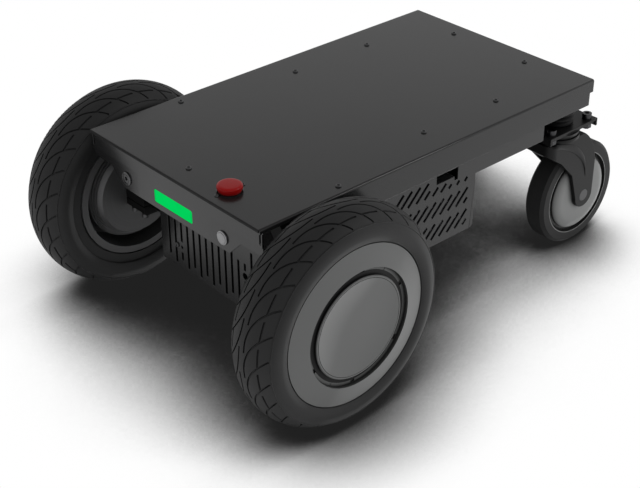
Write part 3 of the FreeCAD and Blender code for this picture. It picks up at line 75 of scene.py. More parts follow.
camera_data = bpy.data.cameras.new("camera")
camera_data.sensor_fit = "HORIZONTAL"
camera_data.sensor_width = SENSOR
camera_data.lens = FOCAL_PIXELS * SENSOR / IMAGE_WIDTH
camera = bpy.data.objects.new("camera", camera_data)
scene.collection.objects.link(camera)
forward = Vector((math.cos(TILT) * math.cos(TURN), math.cos(TILT) * math.sin(TURN), math.sin(TILT)))
level = forward.cross(Vector((0, 0, 1))).normalized()
upright = level.cross(forward)
across = math.cos(ROLL) * level + math.sin(ROLL) * upright
above = math.cos(ROLL) * upright - math.sin(ROLL) * level
axes = Matrix((across, above, -forward)).transposed().to_4x4()
camera.matrix_world = Matrix.Translation(CAMERA_SPOT) @ axes
scene.camera = camera
print("lens", round(camera_data.lens, 2), "mm")

# %% [markdown]
# ## Nodes in few words
# Every finish below is a small graph of shader nodes. Making each node takes several lines, so one helper
# adds a node, sets its properties and feeds its inputs, either with a number or with another node's output.

# %% A helper for node graphs
class Graph:
    """Adds nodes to one node tree and joins them."""

    def __init__(self, tree):
        self.tree = tree

    def feed(self, socket, value):
        if isinstance(value, bpy.types.NodeSocket):
            self.tree.links.new(value, socket)
        else:
            socket.default_value = value

    def add(self, kind, inputs=None, **settings):
        node = self.tree.nodes.new("ShaderNode" + kind)
        for name, value in settings.items():
            setattr(node, name, value)
        for name, value in (inputs or {}).items():
            self.feed(node.inputs[name], value)
        return node

    def math(self, operation, first, second=0.0, clamp=False):
        return self.add("Math", {0: first, 1: second}, operation=operation, use_clamp=clamp).outputs[0]

    def span(self, value, low, high, new_low, new_high):
        """Maps low..high to new_low..new_high and keeps the result between them."""
        inputs = {"Value": value, "From Min": low, "From Max": high, "To Min": new_low, "To Max": new_high}
        return self.add("MapRange", inputs).outputs[0]

    def noise(self, place, scale, detail=2.0, rough=0.5):
        inputs = {"Vector": place, "Scale": scale, "Detail": detail, "Roughness": rough}
        return self.add("TexNoise", inputs).outputs[0]

    def blend(self, share, first, second):
        """Mixes two colours."""
        return self.add("Mix", {0: share, 6: first, 7: second}, data_type="RGBA").outputs[2]

    def scaled(self, colour, factor):
        return self.add("VectorMath", {0: colour, "Scale": factor}, operation="SCALE").outputs[0]

    def place(self):
        """A point's place on its own object, so that a pattern turns with a wheel."""
        return self.add("TexCoord").outputs["Object"]


print("graph helper ready")

# %% [markdown]
# ## Light and background
# The platform is shown in an even studio light. Black paint is seen by what it mirrors, so mirror-like rays
# get a sky that is bright near the horizon and darker above, while other rays get a plain dim one. Two suns
# from behind on the left shape the metal. The wide low one comes from under the floor, which casts no
# shadow: it brightens the rear side of each wheel ring and leaves the front side dark. The weak high one is
# placed so that rounded upper edges mirror it. The camera itself sees a white background.

# %% Light the sky
MIRROR_LOW, MIRROR_TOP = 1.0, 0.3
SKY = 0.45


def seen_rays(graph):
    """One for rays from the camera and for mirror and glass rays, else zero."""
    path = graph.add("LightPath").outputs
    mirrored = graph.math("MAXIMUM", path["Is Glossy Ray"], path["Is Transmission Ray"])
    return graph.math("MAXIMUM", path["Is Camera Ray"], mirrored), path["Is Camera Ray"]


world = bpy.data.worlds.new("studio")
world.use_nodes = True
scene.world = world
sky = Graph(world.node_tree)
background = world.node_tree.nodes["Background"]
background.inputs["Color"].default_value = (1, 1, 1, 1)
height = sky.add("SeparateXYZ", {0: sky.add("TexCoord").outputs["Generated"]}).outputs[2]
mirror_sky = sky.span(height, 0.0, 1.0, MIRROR_LOW, MIRROR_TOP)
seen, by_camera = seen_rays(sky)
brightness = sky.math("ADD", SKY, sky.math("MULTIPLY", seen, sky.math("SUBTRACT", mirror_sky, SKY)))
sky.feed(background.inputs["Strength"], sky.math("MAXIMUM", brightness, by_camera))
scene.view_settings.view_transform = "Standard"
print("sky", SKY, "mirrored sky", MIRROR_LOW, "to", MIRROR_TOP)

# %% Hang the suns
LOW_SUN = {"strength": 2.4, "spread": 50, "travel": (0.74, -0.4, 0.54)}
HIGH_SUN = {"strength": 0.45, "spread": 16, "travel": (0.567, -0.525, -0.634)}


def hang_sun(name, strength, spread, travel):
    """A sun with that spread in degrees, whose light travels in that direction."""
    lamp = bpy.data.lights.new(name, "SUN")
    lamp.energy = strength
    lamp.angle = math.radians(spread)
    sun = bpy.data.objects.new(name, lamp)
    scene.collection.objects.link(sun)
    sun.rotation_euler = Vector(travel).to_track_quat("-Z", "Y").to_euler()


hang_sun("low_sun", **LOW_SUN)
hang_sun("high_sun", **HIGH_SUN)
print("suns", LOW_SUN["strength"], HIGH_SUN["strength"])

# %% [markdown]
# ## The floor and its shadow
# On a white floor only a wide soft shadow ties the platform to the ground, almost black under the belly and
# gone a hand's width outside it. Lamps that give so deep a shadow would be far too strong for the object,
# so the shadow is worked out from the shape: an Ambient Occlusion node tells how much of the sky each point
# of the floor sees. A wide reach gives the shadow of the body and a short one the contact under the tyres.
# The camera and mirror-like paint see this picture; for all other light the floor is a white board that
# glows a little where it is free.

# %% Lay the floor
FLOOR_REACH = 12

floor_mesh = bpy.data.meshes.new("floor")
corners = [(-1, -1), (1, -1), (1, 1), (-1, 1)]
floor_mesh.from_pydata([(FLOOR_REACH * x, FLOOR_REACH * y, 0) for x, y in corners], [], [(0, 1, 2, 3)])
floor = bpy.data.objects.new("floor", floor_mesh)
scene.collection.objects.link(floor)
floor.visible_shadow = False
print("floor", 2 * FLOOR_REACH, "m wide")

# %% Give the floor its shadow
FLOOR_WHITE, FLOOR_GLOW = 0.9, 0.2
BODY_SHADOW = {"reach": 0.4, "dark": 0.42, "clear": 0.78, "power": 1.25}
TYRE_SHADOW = {"reach": 0.2, "dark": 0.45, "clear": 0.9, "power": 1.0}
DEEPEST, SHADOW_SAMPLES = 0.015, 24


def open_sky(graph, reach, dark, clear, power):
    """From 0 where the object hides the sky to 1 where the floor is free."""
    sight = graph.add("AmbientOcclusion", {"Distance": reach}, samples=SHADOW_SAMPLES).outputs["AO"]
    return graph.math("POWER", graph.span(sight, dark, clear, 0.0, 1.0), power)


floor_finish = bpy.data.materials.new("studio_floor")
floor_finish.use_nodes = True
graph = Graph(floor_finish.node_tree)
shader = floor_finish.node_tree.nodes["Principled BSDF"].inputs
seen, by_camera = seen_rays(graph)
free = graph.math("MULTIPLY", open_sky(graph, **BODY_SHADOW), open_sky(graph, **TYRE_SHADOW))
graph.feed(shader["Base Color"], graph.scaled((FLOOR_WHITE,) * 3, graph.math("SUBTRACT", 1.0, seen)))
shown = graph.span(free, 0.0, 1.0, DEEPEST, 1.0)
glow = graph.span(seen, 0.0, 1.0, FLOOR_GLOW, 1.0)
graph.feed(shader["Emission Strength"], graph.math("MULTIPLY", shown, glow))
shader["Emission Color"].default_value = (1, 1, 1, 1)
shader["Roughness"].default_value = 1.0
shader["Specular IOR Level"].default_value = 0.0
floor_mesh.materials.append(floor_finish)
print("floor finish:", len(floor_finish.node_tree.nodes), "nodes")

# %% [markdown]
# ## Effects that several finishes share
# Powder coat, moulded plastic, rubber and turned metal differ in colour and gloss, but they are built from
# the same few effects. Each effect is a node group with named sockets, made once and placed in every finish
# that needs it with its own values. A group gives out only colours, masks and heights; the shader stays in
# the material.

# %% Make a node group
def new_group(name, inputs, outputs):
    """An empty group with float inputs and outputs, or colours where the default has four values."""
    tree = bpy.data.node_groups.new(name, "ShaderNodeTree")
    for label, default in inputs.items():
        kind = "NodeSocketColor" if isinstance(default, tuple) else "NodeSocketFloat"
        socket = tree.interface.new_socket(label, in_out="INPUT", socket_type=kind)
        socket.default_value = default
    for label in outputs:
        kind = "NodeSocketColor" if label == "Colour" else "NodeSocketFloat"
        tree.interface.new_socket(label, in_out="OUTPUT", socket_type=kind)
    graph = Graph(tree)
    given = tree.nodes.new("NodeGroupInput").outputs
    result = tree.nodes.new("NodeGroupOutput").inputs
    return tree, graph, given, result


print("group helper ready")

# %% [markdown]
# ### Coat
# A powder coat is sprayed as dry dust and melts into a skin with a fine orange-peel surface. Paint is never
# quite even, so its tone also drifts a little over a hand's width. Two noises give that: a fine one for the
# peel and a slow one for the drift.

# %% Coat group
NOISE_RANGE = (0.3, 0.7)
DRIFT_SCALE, DRIFT_WEIGHT = 7.0, 2.0
DRIFT_GLOSS, PEEL_GLOSS = 0.7, 0.3
SURFACE = ("Colour", "Roughness", "Height")

coat_inputs = {"Paint": (0.05, 0.05, 0.05, 1), "Grain": 0.0007, "Drift": 0.1,
               "Gloss low": 0.4, "Gloss high": 0.5}
coat, graph, given, result = new_group("coat", coat_inputs, SURFACE)
point = graph.place()
peel = graph.noise(point, graph.math("DIVIDE", 1.0, given["Grain"]), detail=2.0, rough=0.6)
slow = graph.noise(point, DRIFT_SCALE, detail=4.0, rough=0.55)
swing = graph.math("MULTIPLY", graph.math("SUBTRACT", slow, 0.5), given["Drift"])
fleck = graph.math("MULTIPLY", graph.math("SUBTRACT", peel, 0.5), given["Drift"])
tone = graph.math("ADD", 1.0, graph.math("ADD", graph.math("MULTIPLY", swing, DRIFT_WEIGHT), fleck))
graph.feed(result["Colour"], graph.scaled(given["Paint"], tone))
gloss = graph.math("ADD", graph.math("MULTIPLY", slow, DRIFT_GLOSS), graph.math("MULTIPLY", peel, PEEL_GLOSS))
graph.feed(result["Roughness"], graph.span(gloss, *NOISE_RANGE, given["Gloss low"], given["Gloss high"]))
graph.feed(result["Height"], peel)
print("coat:", len(coat.nodes), "nodes")

# %% [markdown]
# ### Worn edges and edge highlights
# Handling rubs a coat thin where two faces meet, so edges and bends look a little lighter than flat areas.
# On the deck the edge colour is lighter still: there it is a painted highlight along the bends. The Bevel
# node bends normals near an edge; how far they lean away from the true normal is a mask that follows edges
# on any mesh. A noise breaks it up, because nothing wears evenly.

# %% Edge wear and highlight group
LEAN_RANGE = (0.02, 0.25)
PATCH_RANGE, LEAST_WEAR = (0.38, 0.66), 0.15

edge_wear_and_highlight, graph, given, result = new_group("edge_wear_and_highlight", {"Width": 0.0012, "Breakup": 60.0}, ("Mask",))
rounded = graph.add("Bevel", {"Radius": given["Width"]}).outputs[0]
true_normal = graph.add("NewGeometry").outputs["Normal"]
lean = graph.add("VectorMath", {0: rounded, 1: true_normal}, operation="DOT_PRODUCT").outputs["Value"]
edge = graph.span(graph.math("SUBTRACT", 1.0, lean), *LEAN_RANGE, 0.0, 1.0)
speckle = graph.noise(graph.place(), given["Breakup"], detail=5.0, rough=0.65)
patches = graph.span(speckle, *PATCH_RANGE, LEAST_WEAR, 1.0)
graph.feed(result["Mask"], graph.math("MULTIPLY", edge, patches, clamp=True))
print("edge_wear_and_highlight:", len(edge_wear_and_highlight.nodes), "nodes")

# %% [markdown]
# ### Settled dust
# Even a clean machine carries a trace of dust on faces that look up. The mask is the upward share of the
# normal, broken by a cloudy noise.

# %% Dust group
CLOUD_SCALE, CLOUD_RANGE = 22.0, (0.4, 0.75)
DUST_SLOPE = 0.6

dust, graph, given, result = new_group("settled_dust", {"Amount": 0.1}, ("Mask",))
up_share = graph.add("SeparateXYZ", {0: graph.add("NewGeometry").outputs["Normal"]}).outputs[2]
cloud = graph.span(graph.noise(graph.place(), CLOUD_SCALE, detail=6.0, rough=0.6), *CLOUD_RANGE, 0.0, 1.0)
settled = graph.math("MULTIPLY", graph.span(up_share, DUST_SLOPE, 1.0, 0.0, 1.0), cloud)
graph.feed(result["Mask"], graph.math("MULTIPLY", settled, given["Amount"]))
print("settled_dust:", len(dust.nodes), "nodes")

# %% [markdown]
# ### Moulded skin
# Rubber and plastic take the texture of their mould, a pattern of tiny rounded cells, and they show faint
# cloudy patches where the material flowed. Voronoi cells are the texture, a noise is the flow.

# %% Moulded skin group
FLOW_SCALE = 16.0

skin_inputs = {"Tint": (0.1, 0.1, 0.1, 1), "Cell": 0.0009, "Flow": 0.12, "Gloss low": 0.5, "Gloss high": 0.65}
skin, graph, given, result = new_group("moulded_skin", skin_inputs, SURFACE)
point = graph.place()
cell_count = graph.math("DIVIDE", 1.0, given["Cell"])
voronoi = graph.add("TexVoronoi", {"Vector": point, "Scale": cell_count}, feature="SMOOTH_F1")
flow = graph.noise(point, FLOW_SCALE, detail=5.0, rough=0.6)
tone = graph.math("ADD", 1.0, graph.math("MULTIPLY", graph.math("SUBTRACT", flow, 0.5), given["Flow"]))
graph.feed(result["Colour"], graph.scaled(given["Tint"], tone))
graph.feed(result["Roughness"], graph.span(flow, *NOISE_RANGE, given["Gloss low"], given["Gloss high"]))
graph.feed(result["Height"], voronoi.outputs["Distance"])
print("moulded_skin:", len(skin.nodes), "nodes")

# %% [markdown]
# ### Tool rings
# A lathe leaves fine rings round the axis of a turned piece, and light slides along them. The distance from
# the axis runs through a sine wave of the tool's feed, with a little noise so that no two rings are alike.

# %% Tool ring group
WANDER_SCALE, WANDER = 90.0, 0.0004
BAND_SCALE, BAND_TONES = 420.0, (0.85, 1.12)

ring_inputs = {"Metal": (0.5, 0.5, 0.5, 1), "Axis X": 0.0, "Axis Z": 0.0, "Feed": 0.0006,
               "Gloss low": 0.25, "Gloss high": 0.4}
tool_rings, graph, given, result = new_group("tool_rings", ring_inputs, SURFACE)
point = graph.place()
part = graph.add("SeparateXYZ", {0: point}).outputs
off_x = graph.math("SUBTRACT", part[0], given["Axis X"])
off_z = graph.math("SUBTRACT", part[2], given["Axis Z"])
distance = graph.math("SQRT", graph.math("ADD", graph.math("MULTIPLY", off_x, off_x),
                                         graph.math("MULTIPLY", off_z, off_z)))
wander = graph.math("MULTIPLY", graph.noise(point, WANDER_SCALE, detail=3.0, rough=0.6), WANDER)
turns = graph.math("DIVIDE", graph.math("ADD", distance, wander), given["Feed"])
wave = graph.math("SINE", graph.math("MULTIPLY", turns, 2 * math.pi))
along = graph.add("CombineXYZ", {0: distance}).outputs[0]
band = graph.noise(along, BAND_SCALE, detail=3.0, rough=0.7)
graph.feed(result["Colour"], graph.scaled(given["Metal"], graph.span(band, *NOISE_RANGE, *BAND_TONES)))
graph.feed(result["Roughness"], graph.span(band, *NOISE_RANGE, given["Gloss low"], given["Gloss high"]))
graph.feed(result["Height"], wave)
print("tool_rings:", len(tool_rings.nodes), "nodes")

# %% [markdown]
# ### Painted shade in grooves
# Narrow grooves in a moulded trim look black from any side, since little light gets into them. That shade
# is painted into the colour: the Ambient Occlusion node finds the grooves, because within a few millimetres
# most of the view out of a groove is blocked.

# %% Painted groove shade group
BLOCKED_RANGE = (0.5, 0.82)
GROOVE_SAMPLES = 8

painted_groove_shade, graph, given, result = new_group("painted_groove_shade", {"Reach": 0.006}, ("Mask",))
view_out = graph.add("AmbientOcclusion", {"Distance": given["Reach"]}, samples=GROOVE_SAMPLES).outputs["AO"]
graph.feed(result["Mask"], graph.span(view_out, *BLOCKED_RANGE, 1.0, 0.0))
print("painted_groove_shade:", len(painted_groove_shade.nodes), "nodes")

# %% [markdown]
# ## Finishes
# Each slot of the record becomes one material. A material places one of the groups above for its own
# surface, adds edge wear or dust where the real piece would have it, and turns the group's height into a
# fine bump. Black paint gets a very dark base, because most of what the eye sees on it is gloss.

# %% Helpers for materials
materials = {}


def new_finish(slot, specular=0.5, metallic=0.0):
    """A material with its Principled shader, whose even values sit on the shader itself."""
    material = bpy.data.materials.new(slot)
    material.use_nodes = True
    shader = material.node_tree.nodes["Principled BSDF"]
    shader.inputs["Specular IOR Level"].default_value = specular
    shader.inputs["Metallic"].default_value = metallic
    materials[slot] = material
    return Graph(material.node_tree), shader.inputs


def put_group(graph, tree, **values):
    """Places a group and sets its inputs, with _ in a keyword for a space."""
    node = graph.add("Group", node_tree=tree)
    for label, value in values.items():
        graph.feed(node.inputs[label.replace("_", " ")], value)
    return node.outputs


def rough_surface(graph, shader, height, strength, depth):
    bump = graph.add("Bump", {"Strength": strength, "Distance": depth, "Height": height})
    graph.feed(shader["Normal"], bump.outputs[0])


print("material helpers ready")

# %% [markdown]
# ### Painted metal
# The deck, the panels and the caster forks are steel sheet with a half-gloss black coat. The coat hides the
# metal, so no metallic share is needed: a dark base under a normal dielectric gloss does it, with the peel
# and drift of the coat group, edges rubbed a little lighter, and a trace of dust on top. On the deck the
# edges are lighter still, as a painted highlight along its bends.

# %% Painted finishes
DUST = (0.16, 0.155, 0.15, 1)
COAT_DRIFT, COAT_DUST, PEEL_DEPTH = 0.08, 0.012, 0.0002
WEAR_BREAKUP = 70.0


def coated(slot, paint, gloss, specular, wear_and_highlight, wear_width=0.0009, grain=0.0007, bump=0.04):
    """Painted metal with lighter edges (wear, and on the deck a painted highlight) and dust. Gloss is the
    range of its roughness.
    """
    graph, shader = new_finish(slot, specular)
    surface = put_group(graph, coat, Paint=(*paint, 1), Grain=grain, Drift=COAT_DRIFT, Gloss_low=gloss[0],
                        Gloss_high=gloss[1])
    edges = put_group(graph, edge_wear_and_highlight, Width=wear_width, Breakup=WEAR_BREAKUP)
    settled = put_group(graph, dust, Amount=COAT_DUST)
    painted = graph.blend(settled["Mask"], surface["Colour"], DUST)
    graph.feed(shader["Base Color"], graph.blend(edges["Mask"], painted, (*wear_and_highlight, 1)))
    graph.feed(shader["Roughness"], surface["Roughness"])
    rough_surface(graph, shader, surface["Height"], bump, PEEL_DEPTH)


# The deck's light edge colour is mostly a painted highlight along its bends, over the rubbed wear.
coated("deck_paint", (0.0115, 0.0115, 0.0118), (0.17, 0.24), specular=0.33, wear_and_highlight=(0.1, 0.1, 0.102))
coated("panel_paint", (0.0115, 0.0115, 0.0118), (0.17, 0.24), specular=0.37, wear_and_highlight=(0.028, 0.028, 0.029))
coated("frame_paint", (0.012, 0.012, 0.0123), (0.25, 0.35), specular=0.4, wear_and_highlight=(0.03, 0.03, 0.031))
coated("caster_steel", (0.009, 0.009, 0.0092), (0.36, 0.46), specular=0.15, wear_and_highlight=(0.026, 0.026, 0.027),
       wear_width=0.0012)
coated("mount_alloy", (0.004, 0.004, 0.0041), (0.4, 0.5), specular=0.12, wear_and_highlight=(0.01, 0.01, 0.0102),
       grain=0.0004, bump=0.06)
print("painted finishes made")

# %% [markdown]
# ### Rubber and plastic
# Tyres, seals, wheel trims and the red stop button come out of moulds. They share the moulded skin and
# differ in tint, cell size and gloss: tyre rubber is dull and a little dusty, the stop button is nearly
# smooth.

# %% Moulded finishes
GROOVE_SHADE_BLACK = (0.004, 0.004, 0.004, 1)
CELL_DEPTH = 0.0002


def moulded(slot, tint, gloss, specular, cell=0.0009, flow=0.16, bump=0.12, dusty=0.01, groove_shade_reach=0.0):
    """Rubber or plastic out of a mould. The last argument is how far painted shade reaches out of its
    grooves.
    """
    graph, shader = new_finish(slot, specular)
    surface = put_group(graph, skin, Tint=(*tint, 1), Cell=cell, Flow=flow, Gloss_low=gloss[0],
                        Gloss_high=gloss[1])
    settled = put_group(graph, dust, Amount=dusty)
    colour = graph.blend(settled["Mask"], surface["Colour"], DUST)
    rough = surface["Roughness"]
    # Where a groove blocks the view out, the colour is painted black as shade.
    if groove_shade_reach:
        groove_shaded = put_group(graph, painted_groove_shade, Reach=groove_shade_reach)["Mask"]
        colour = graph.blend(groove_shaded, colour, GROOVE_SHADE_BLACK)
        rough = graph.math("MAXIMUM", rough, groove_shaded)
    graph.feed(shader["Base Color"], colour)
    graph.feed(shader["Roughness"], rough)
    rough_surface(graph, shader, surface["Height"], bump, CELL_DEPTH)


moulded("tyre", (0.0135, 0.0135, 0.0138), (0.56, 0.68), specular=0.3, cell=0.0011, flow=0.25, dusty=0.03)
moulded("caster_rubber", (0.024, 0.024, 0.0243), (0.5, 0.62), specular=0.15)
moulded("black_rubber", (0.006, 0.006, 0.0062), (0.6, 0.72), specular=0.2)
# The wheel trims and the caster caps get painted shade in their grooves.
moulded("wheel_trim", (0.097, 0.099, 0.098), (0.5, 0.58), specular=0.5,
        cell=0.0007, flow=0.08, bump=0.04, groove_shade_reach=0.014)
moulded("caster_plastic", (0.175, 0.179, 0.177), (0.4, 0.5), specular=0.45,
        cell=0.0007, flow=0.08, bump=0.04, groove_shade_reach=0.012)
moulded("black_plastic", (0.018, 0.018, 0.0185), (0.45, 0.58), specular=0.4)
moulded("gloss_black", (0.006, 0.006, 0.006), (0.06, 0.1), specular=0.5, cell=0.0005, bump=0.01)
moulded("red_plastic", (0.34, 0.004, 0.004), (0.2, 0.28), specular=0.15, cell=0.0005, flow=0.12, bump=0.03)
print("moulded finishes made")

# %% [markdown]
# ### Turned metal
# Hub castings, axles, screws and the push button are turned. The ring group runs round the axle of the
# drive wheels, and a lighter tone on the edges stands for the burnish that handling leaves.

# %% Turned finishes
AXLE = (0.228, 0.141)
BURNISH, BURNISH_WIDTH, BURNISH_BREAKUP = 1.6, 0.0006, 90.0
RING_BUMP, RING_DEPTH = 0.08, 0.0001


def turned(slot, metal, gloss, metallic, feed=0.0008):
    """Metal turned on a lathe, with its rings about the drive wheels' axle."""
    graph, shader = new_finish(slot, metallic=metallic)
    surface = put_group(graph, tool_rings, Metal=(*metal, 1), Axis_X=AXLE[0], Axis_Z=AXLE[1], Feed=feed,
                        Gloss_low=gloss[0], Gloss_high=gloss[1])
    edges = put_group(graph, edge_wear_and_highlight, Width=BURNISH_WIDTH, Breakup=BURNISH_BREAKUP)
    bright = graph.scaled(surface["Colour"], BURNISH)
    graph.feed(shader["Base Color"], graph.blend(edges["Mask"], surface["Colour"], bright))
    graph.feed(shader["Roughness"], surface["Roughness"])
    rough_surface(graph, shader, surface["Height"], RING_BUMP, RING_DEPTH)


turned("motor_paint", (0.1, 0.1, 0.102), (0.34, 0.46), metallic=0.4)
turned("bright_steel", (0.05, 0.05, 0.052), (0.24, 0.36), metallic=1.0, feed=0.0005)
turned("dull_steel", (0.075, 0.075, 0.077), (0.4, 0.5), metallic=0.6, feed=0.0006)
turned("stator_iron", (0.1, 0.098, 0.095), (0.5, 0.65), metallic=0.8, feed=0.001)
turned("button_metal", (0.27, 0.27, 0.275), (0.3, 0.42), metallic=0.9, feed=0.0004)
turned("port_metal", (0.1, 0.1, 0.102), (0.2, 0.32), metallic=0.9, feed=0.0004)
turned("controller_alloy", (0.2, 0.2, 0.21), (0.35, 0.5), metallic=0.8, feed=0.0011)
print("turned finishes made")

# %% [markdown]
# ### The status light
# The green bar is a milky lens with lamps behind it. It glows evenly, a little less along its rim where the
# lens is held. An emission colour with a soft falloff towards the rim says that better than a plain lamp,
# and the light it throws on the panel stays faint.

# %% Green light
LENS_LOW, LENS_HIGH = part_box("status_light")
LENS_LIP, LENS_ROUGH = 0.003, 0.5
LENS_TINT, LENS_GLOW = (0.0004, 0.02, 0.004), (0.0003, 0.62, 0.103)
RIM_START, RIM_LEVEL = 0.88, 0.8
LAMP_SCALE, LAMP_TONES = 60.0, (0.97, 1.03)

lens_middle = (LENS_LOW + LENS_HIGH) / 2
half_width = (LENS_HIGH.y - LENS_LOW.y) / 2 - LENS_LIP
half_height = (LENS_HIGH.z - LENS_LOW.z) / 2 - LENS_LIP


def off_middle(graph, place, middle, half):
    """How far a place is from the lens's middle, as a share of half the lens."""
    return graph.math("DIVIDE", graph.math("ABSOLUTE", graph.math("SUBTRACT", place, middle)), half)


graph, shader = new_finish("green_light", specular=0.0)
on_lens = graph.add("SeparateXYZ", {0: graph.place()}).outputs
to_end = off_middle(graph, on_lens[1], lens_middle.y, half_width)
to_rim = off_middle(graph, on_lens[2], lens_middle.z, half_height)
falloff = graph.span(graph.math("MAXIMUM", to_end, to_rim), RIM_START, 1.0, 1.0, RIM_LEVEL)
lamps = graph.span(graph.noise(graph.place(), LAMP_SCALE), *NOISE_RANGE, *LAMP_TONES)
lit = graph.math("MULTIPLY", falloff, lamps)
graph.feed(shader["Base Color"], graph.scaled(LENS_TINT, lit))
graph.feed(shader["Emission Color"], graph.scaled(LENS_GLOW, lit))
shader["Emission Strength"].default_value = 1.0
shader["Roughness"].default_value = LENS_ROUGH
print("light", round(2 * half_width, 4), "by", round(2 * half_height, 4), "m")

# %% [markdown]
# ### Finishes on the frame
# The finishes could be put on piece by piece. The part's record already says which slot each CAD piece
# belongs to, so they go on by that list and no piece is missed.

# %% Give every CAD node its finish
for item in frame["record"]["subparts"]:
    mesh = nodes[item["node"]].data
    mesh.materials.clear()
    mesh.materials.append(materials[item["material_slot"]])

# %% [markdown]
# ## Soft edges
# Cut and folded sheet, castings and moulded covers never have a perfectly sharp edge: a fine rounding
# catches the light. The CAD model leaves these edges sharp. A Weld modifier first joins the faces of the
# imported mesh, and a Decimate modifier makes whole faces of the thin triangles on flat areas, which a
# bevel would fold. Then a Bevel that looks only at clear corners rounds them by a fraction of a millimetre.
# The front of a caster fork wraps round in a wide bend: there a Bevel that looks only at one named edge
# rounds each upright corner first.

# %% The bend of a fork
LEG_FACE, FRONT_BEND, BEND_STEPS = 27, 14, 10
SAME_SPOT = 0.05 * MM


def bend_front(node):
    """Rounds the two upright edges at the front of a fork's crown."""
    low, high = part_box(node.name)
    middle = (low.y + high.y) / 2
    spots = [(vertex.index, node.matrix_world @ vertex.co) for vertex in node.data.vertices]
    front = [(index, spot.y) for index, spot in spots if abs(spot.x - high.x) < SAME_SPOT]
    for edge, across in (("right", middle - LEG_FACE * MM), ("left", middle + LEG_FACE * MM)):
        corner = node.vertex_groups.new(name=edge)
        corner.add([index for index, y in front if abs(y - across) < SAME_SPOT], 1.0, "REPLACE")
        bend = node.modifiers.new(f"{edge}_bend", "BEVEL")
        bend.limit_method = "VGROUP"
        bend.vertex_group = corner.name
        bend.width = FRONT_BEND * MM
        bend.segments = BEND_STEPS
        bend.use_clamp_overlap = False


print("bend", FRONT_BEND, "mm")

# %% Round the edges of the sheet metal and castings
CLEAR_CORNER, FLAT_CORNER = math.radians(40), math.radians(0.5)
WELD_REACH, SOFT_STEPS = 0.00001, 3
HEAVY_PIECES = ("motor_mount", "axle_clamp", "caster_plate", "swivel_plate", "caster_fork")
SOFT_EDGES = {
    0.4: ["top_cover", "front_panel", "battery_box", "side_panel_left", "side_panel_right"],
    0.5: [f"{name}_{side}" for name in HEAVY_PIECES for side in ("left", "right")],
}


def soften(node, width):
    """Rounds a node's clear corners, after the front bend if the node is a fork."""
    weld = node.modifiers.new("weld", "WELD")
    weld.merge_threshold = WELD_REACH
    whole = node.modifiers.new("whole_faces", "DECIMATE")
    whole.decimate_type = "DISSOLVE"
    whole.angle_limit = FLAT_CORNER
    if node.name.startswith("caster_fork"):
        bend_front(node)
    bevel = node.modifiers.new("soft_edges", "BEVEL")
    bevel.width = width
    bevel.segments = SOFT_STEPS
    bevel.limit_method = "ANGLE"
    bevel.angle_limit = CLEAR_CORNER
    bevel.use_clamp_overlap = False


for width, names in SOFT_EDGES.items():
    for name in names:
        soften(nodes[name], width * MM)
print("softened", sum(len(names) for names in SOFT_EDGES.values()), "nodes")

# %% [markdown]
# ## Turned small parts
# Screws, buttons and rings are all forms of revolution, some with flat-sided sockets. A curve with a Screw
# modifier could turn them, but the hexagon sockets would need cutting afterwards. Here each form is a stack
# of rings, and each ring says how many flat sides it has, so a socket is simply a ring with six sides. A
# second helper makes the piece itself: it smooths the mesh, gives it its finish and ties it to its body.

# %% A lathe that stacks rings
SEGMENTS = 48
HEXAGON = 6


def outline_reach(angle, radius, sides):
    """How far an outline reaches at an angle. A flat-sided outline has its radius at its corners."""
    if not sides:
        return radius
    sector = 2 * math.pi / sides
    return radius * math.cos(sector / 2) / math.cos(angle % sector - sector / 2)


def lathe(mesh, origin, axis, rings, hollow=False, segments=SEGMENTS):
    """Adds a closed form of rings (height, radius, sides) in mm. If hollow, the last ring meets the first."""
    turn = Vector(axis).to_track_quat("Z", "Y").to_matrix()
    loops = []
    for height, radius, sides in rings:
        loop = []
        for step in range(segments):
            angle = 2 * math.pi * step / segments
            out = outline_reach(angle, radius, sides)
            point = turn @ Vector((out * math.cos(angle), out * math.sin(angle), height))
            loop.append(mesh.verts.new((Vector(origin) + point) * MM))
        loops.append(loop)
    pairs = list(zip(loops, loops[1:]))
    if hollow:
        pairs.append((loops[-1], loops[0]))
    else:
        mesh.faces.new(loops[0][::-1])
        mesh.faces.new(loops[-1])
    for low, high in pairs:
        for step in range(segments):
            after = (step + 1) % segments
            mesh.faces.new((low[step], low[after], high[after], high[step]))


print("lathe ready,", SEGMENTS, "segments")

# %% From a mesh to a piece
def finish_piece(name, mesh, slot, body, replaced=(), crease=35):
    """Makes an object of the mesh, smooth but for clear corners, with its finish and its body."""
    bmesh.ops.recalc_face_normals(mesh, faces=mesh.faces)
    data = bpy.data.meshes.new(name)
    mesh.to_mesh(data)
    mesh.free()
    data.shade_smooth()
    data.set_sharp_from_angle(angle=math.radians(crease))
    data.materials.append(materials[slot])
    piece = bpy.data.objects.new(name, data)
    scene.collection.objects.link(piece)
    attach(piece, body)
    if replaced:
        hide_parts(*replaced)
    print(name, len(data.vertices), "points")


print("pieces can be made")

# %% [markdown]
# ### Screws
# The deck is held by button-head screws and the axle clamps by cap screws. Both have a hexagon socket. A
# button head is a shallow dome over a short rim; a cap head is a tall cylinder with a chamfer. The steps of
# a form are shares of the head's radius and height, so that one form serves every size.

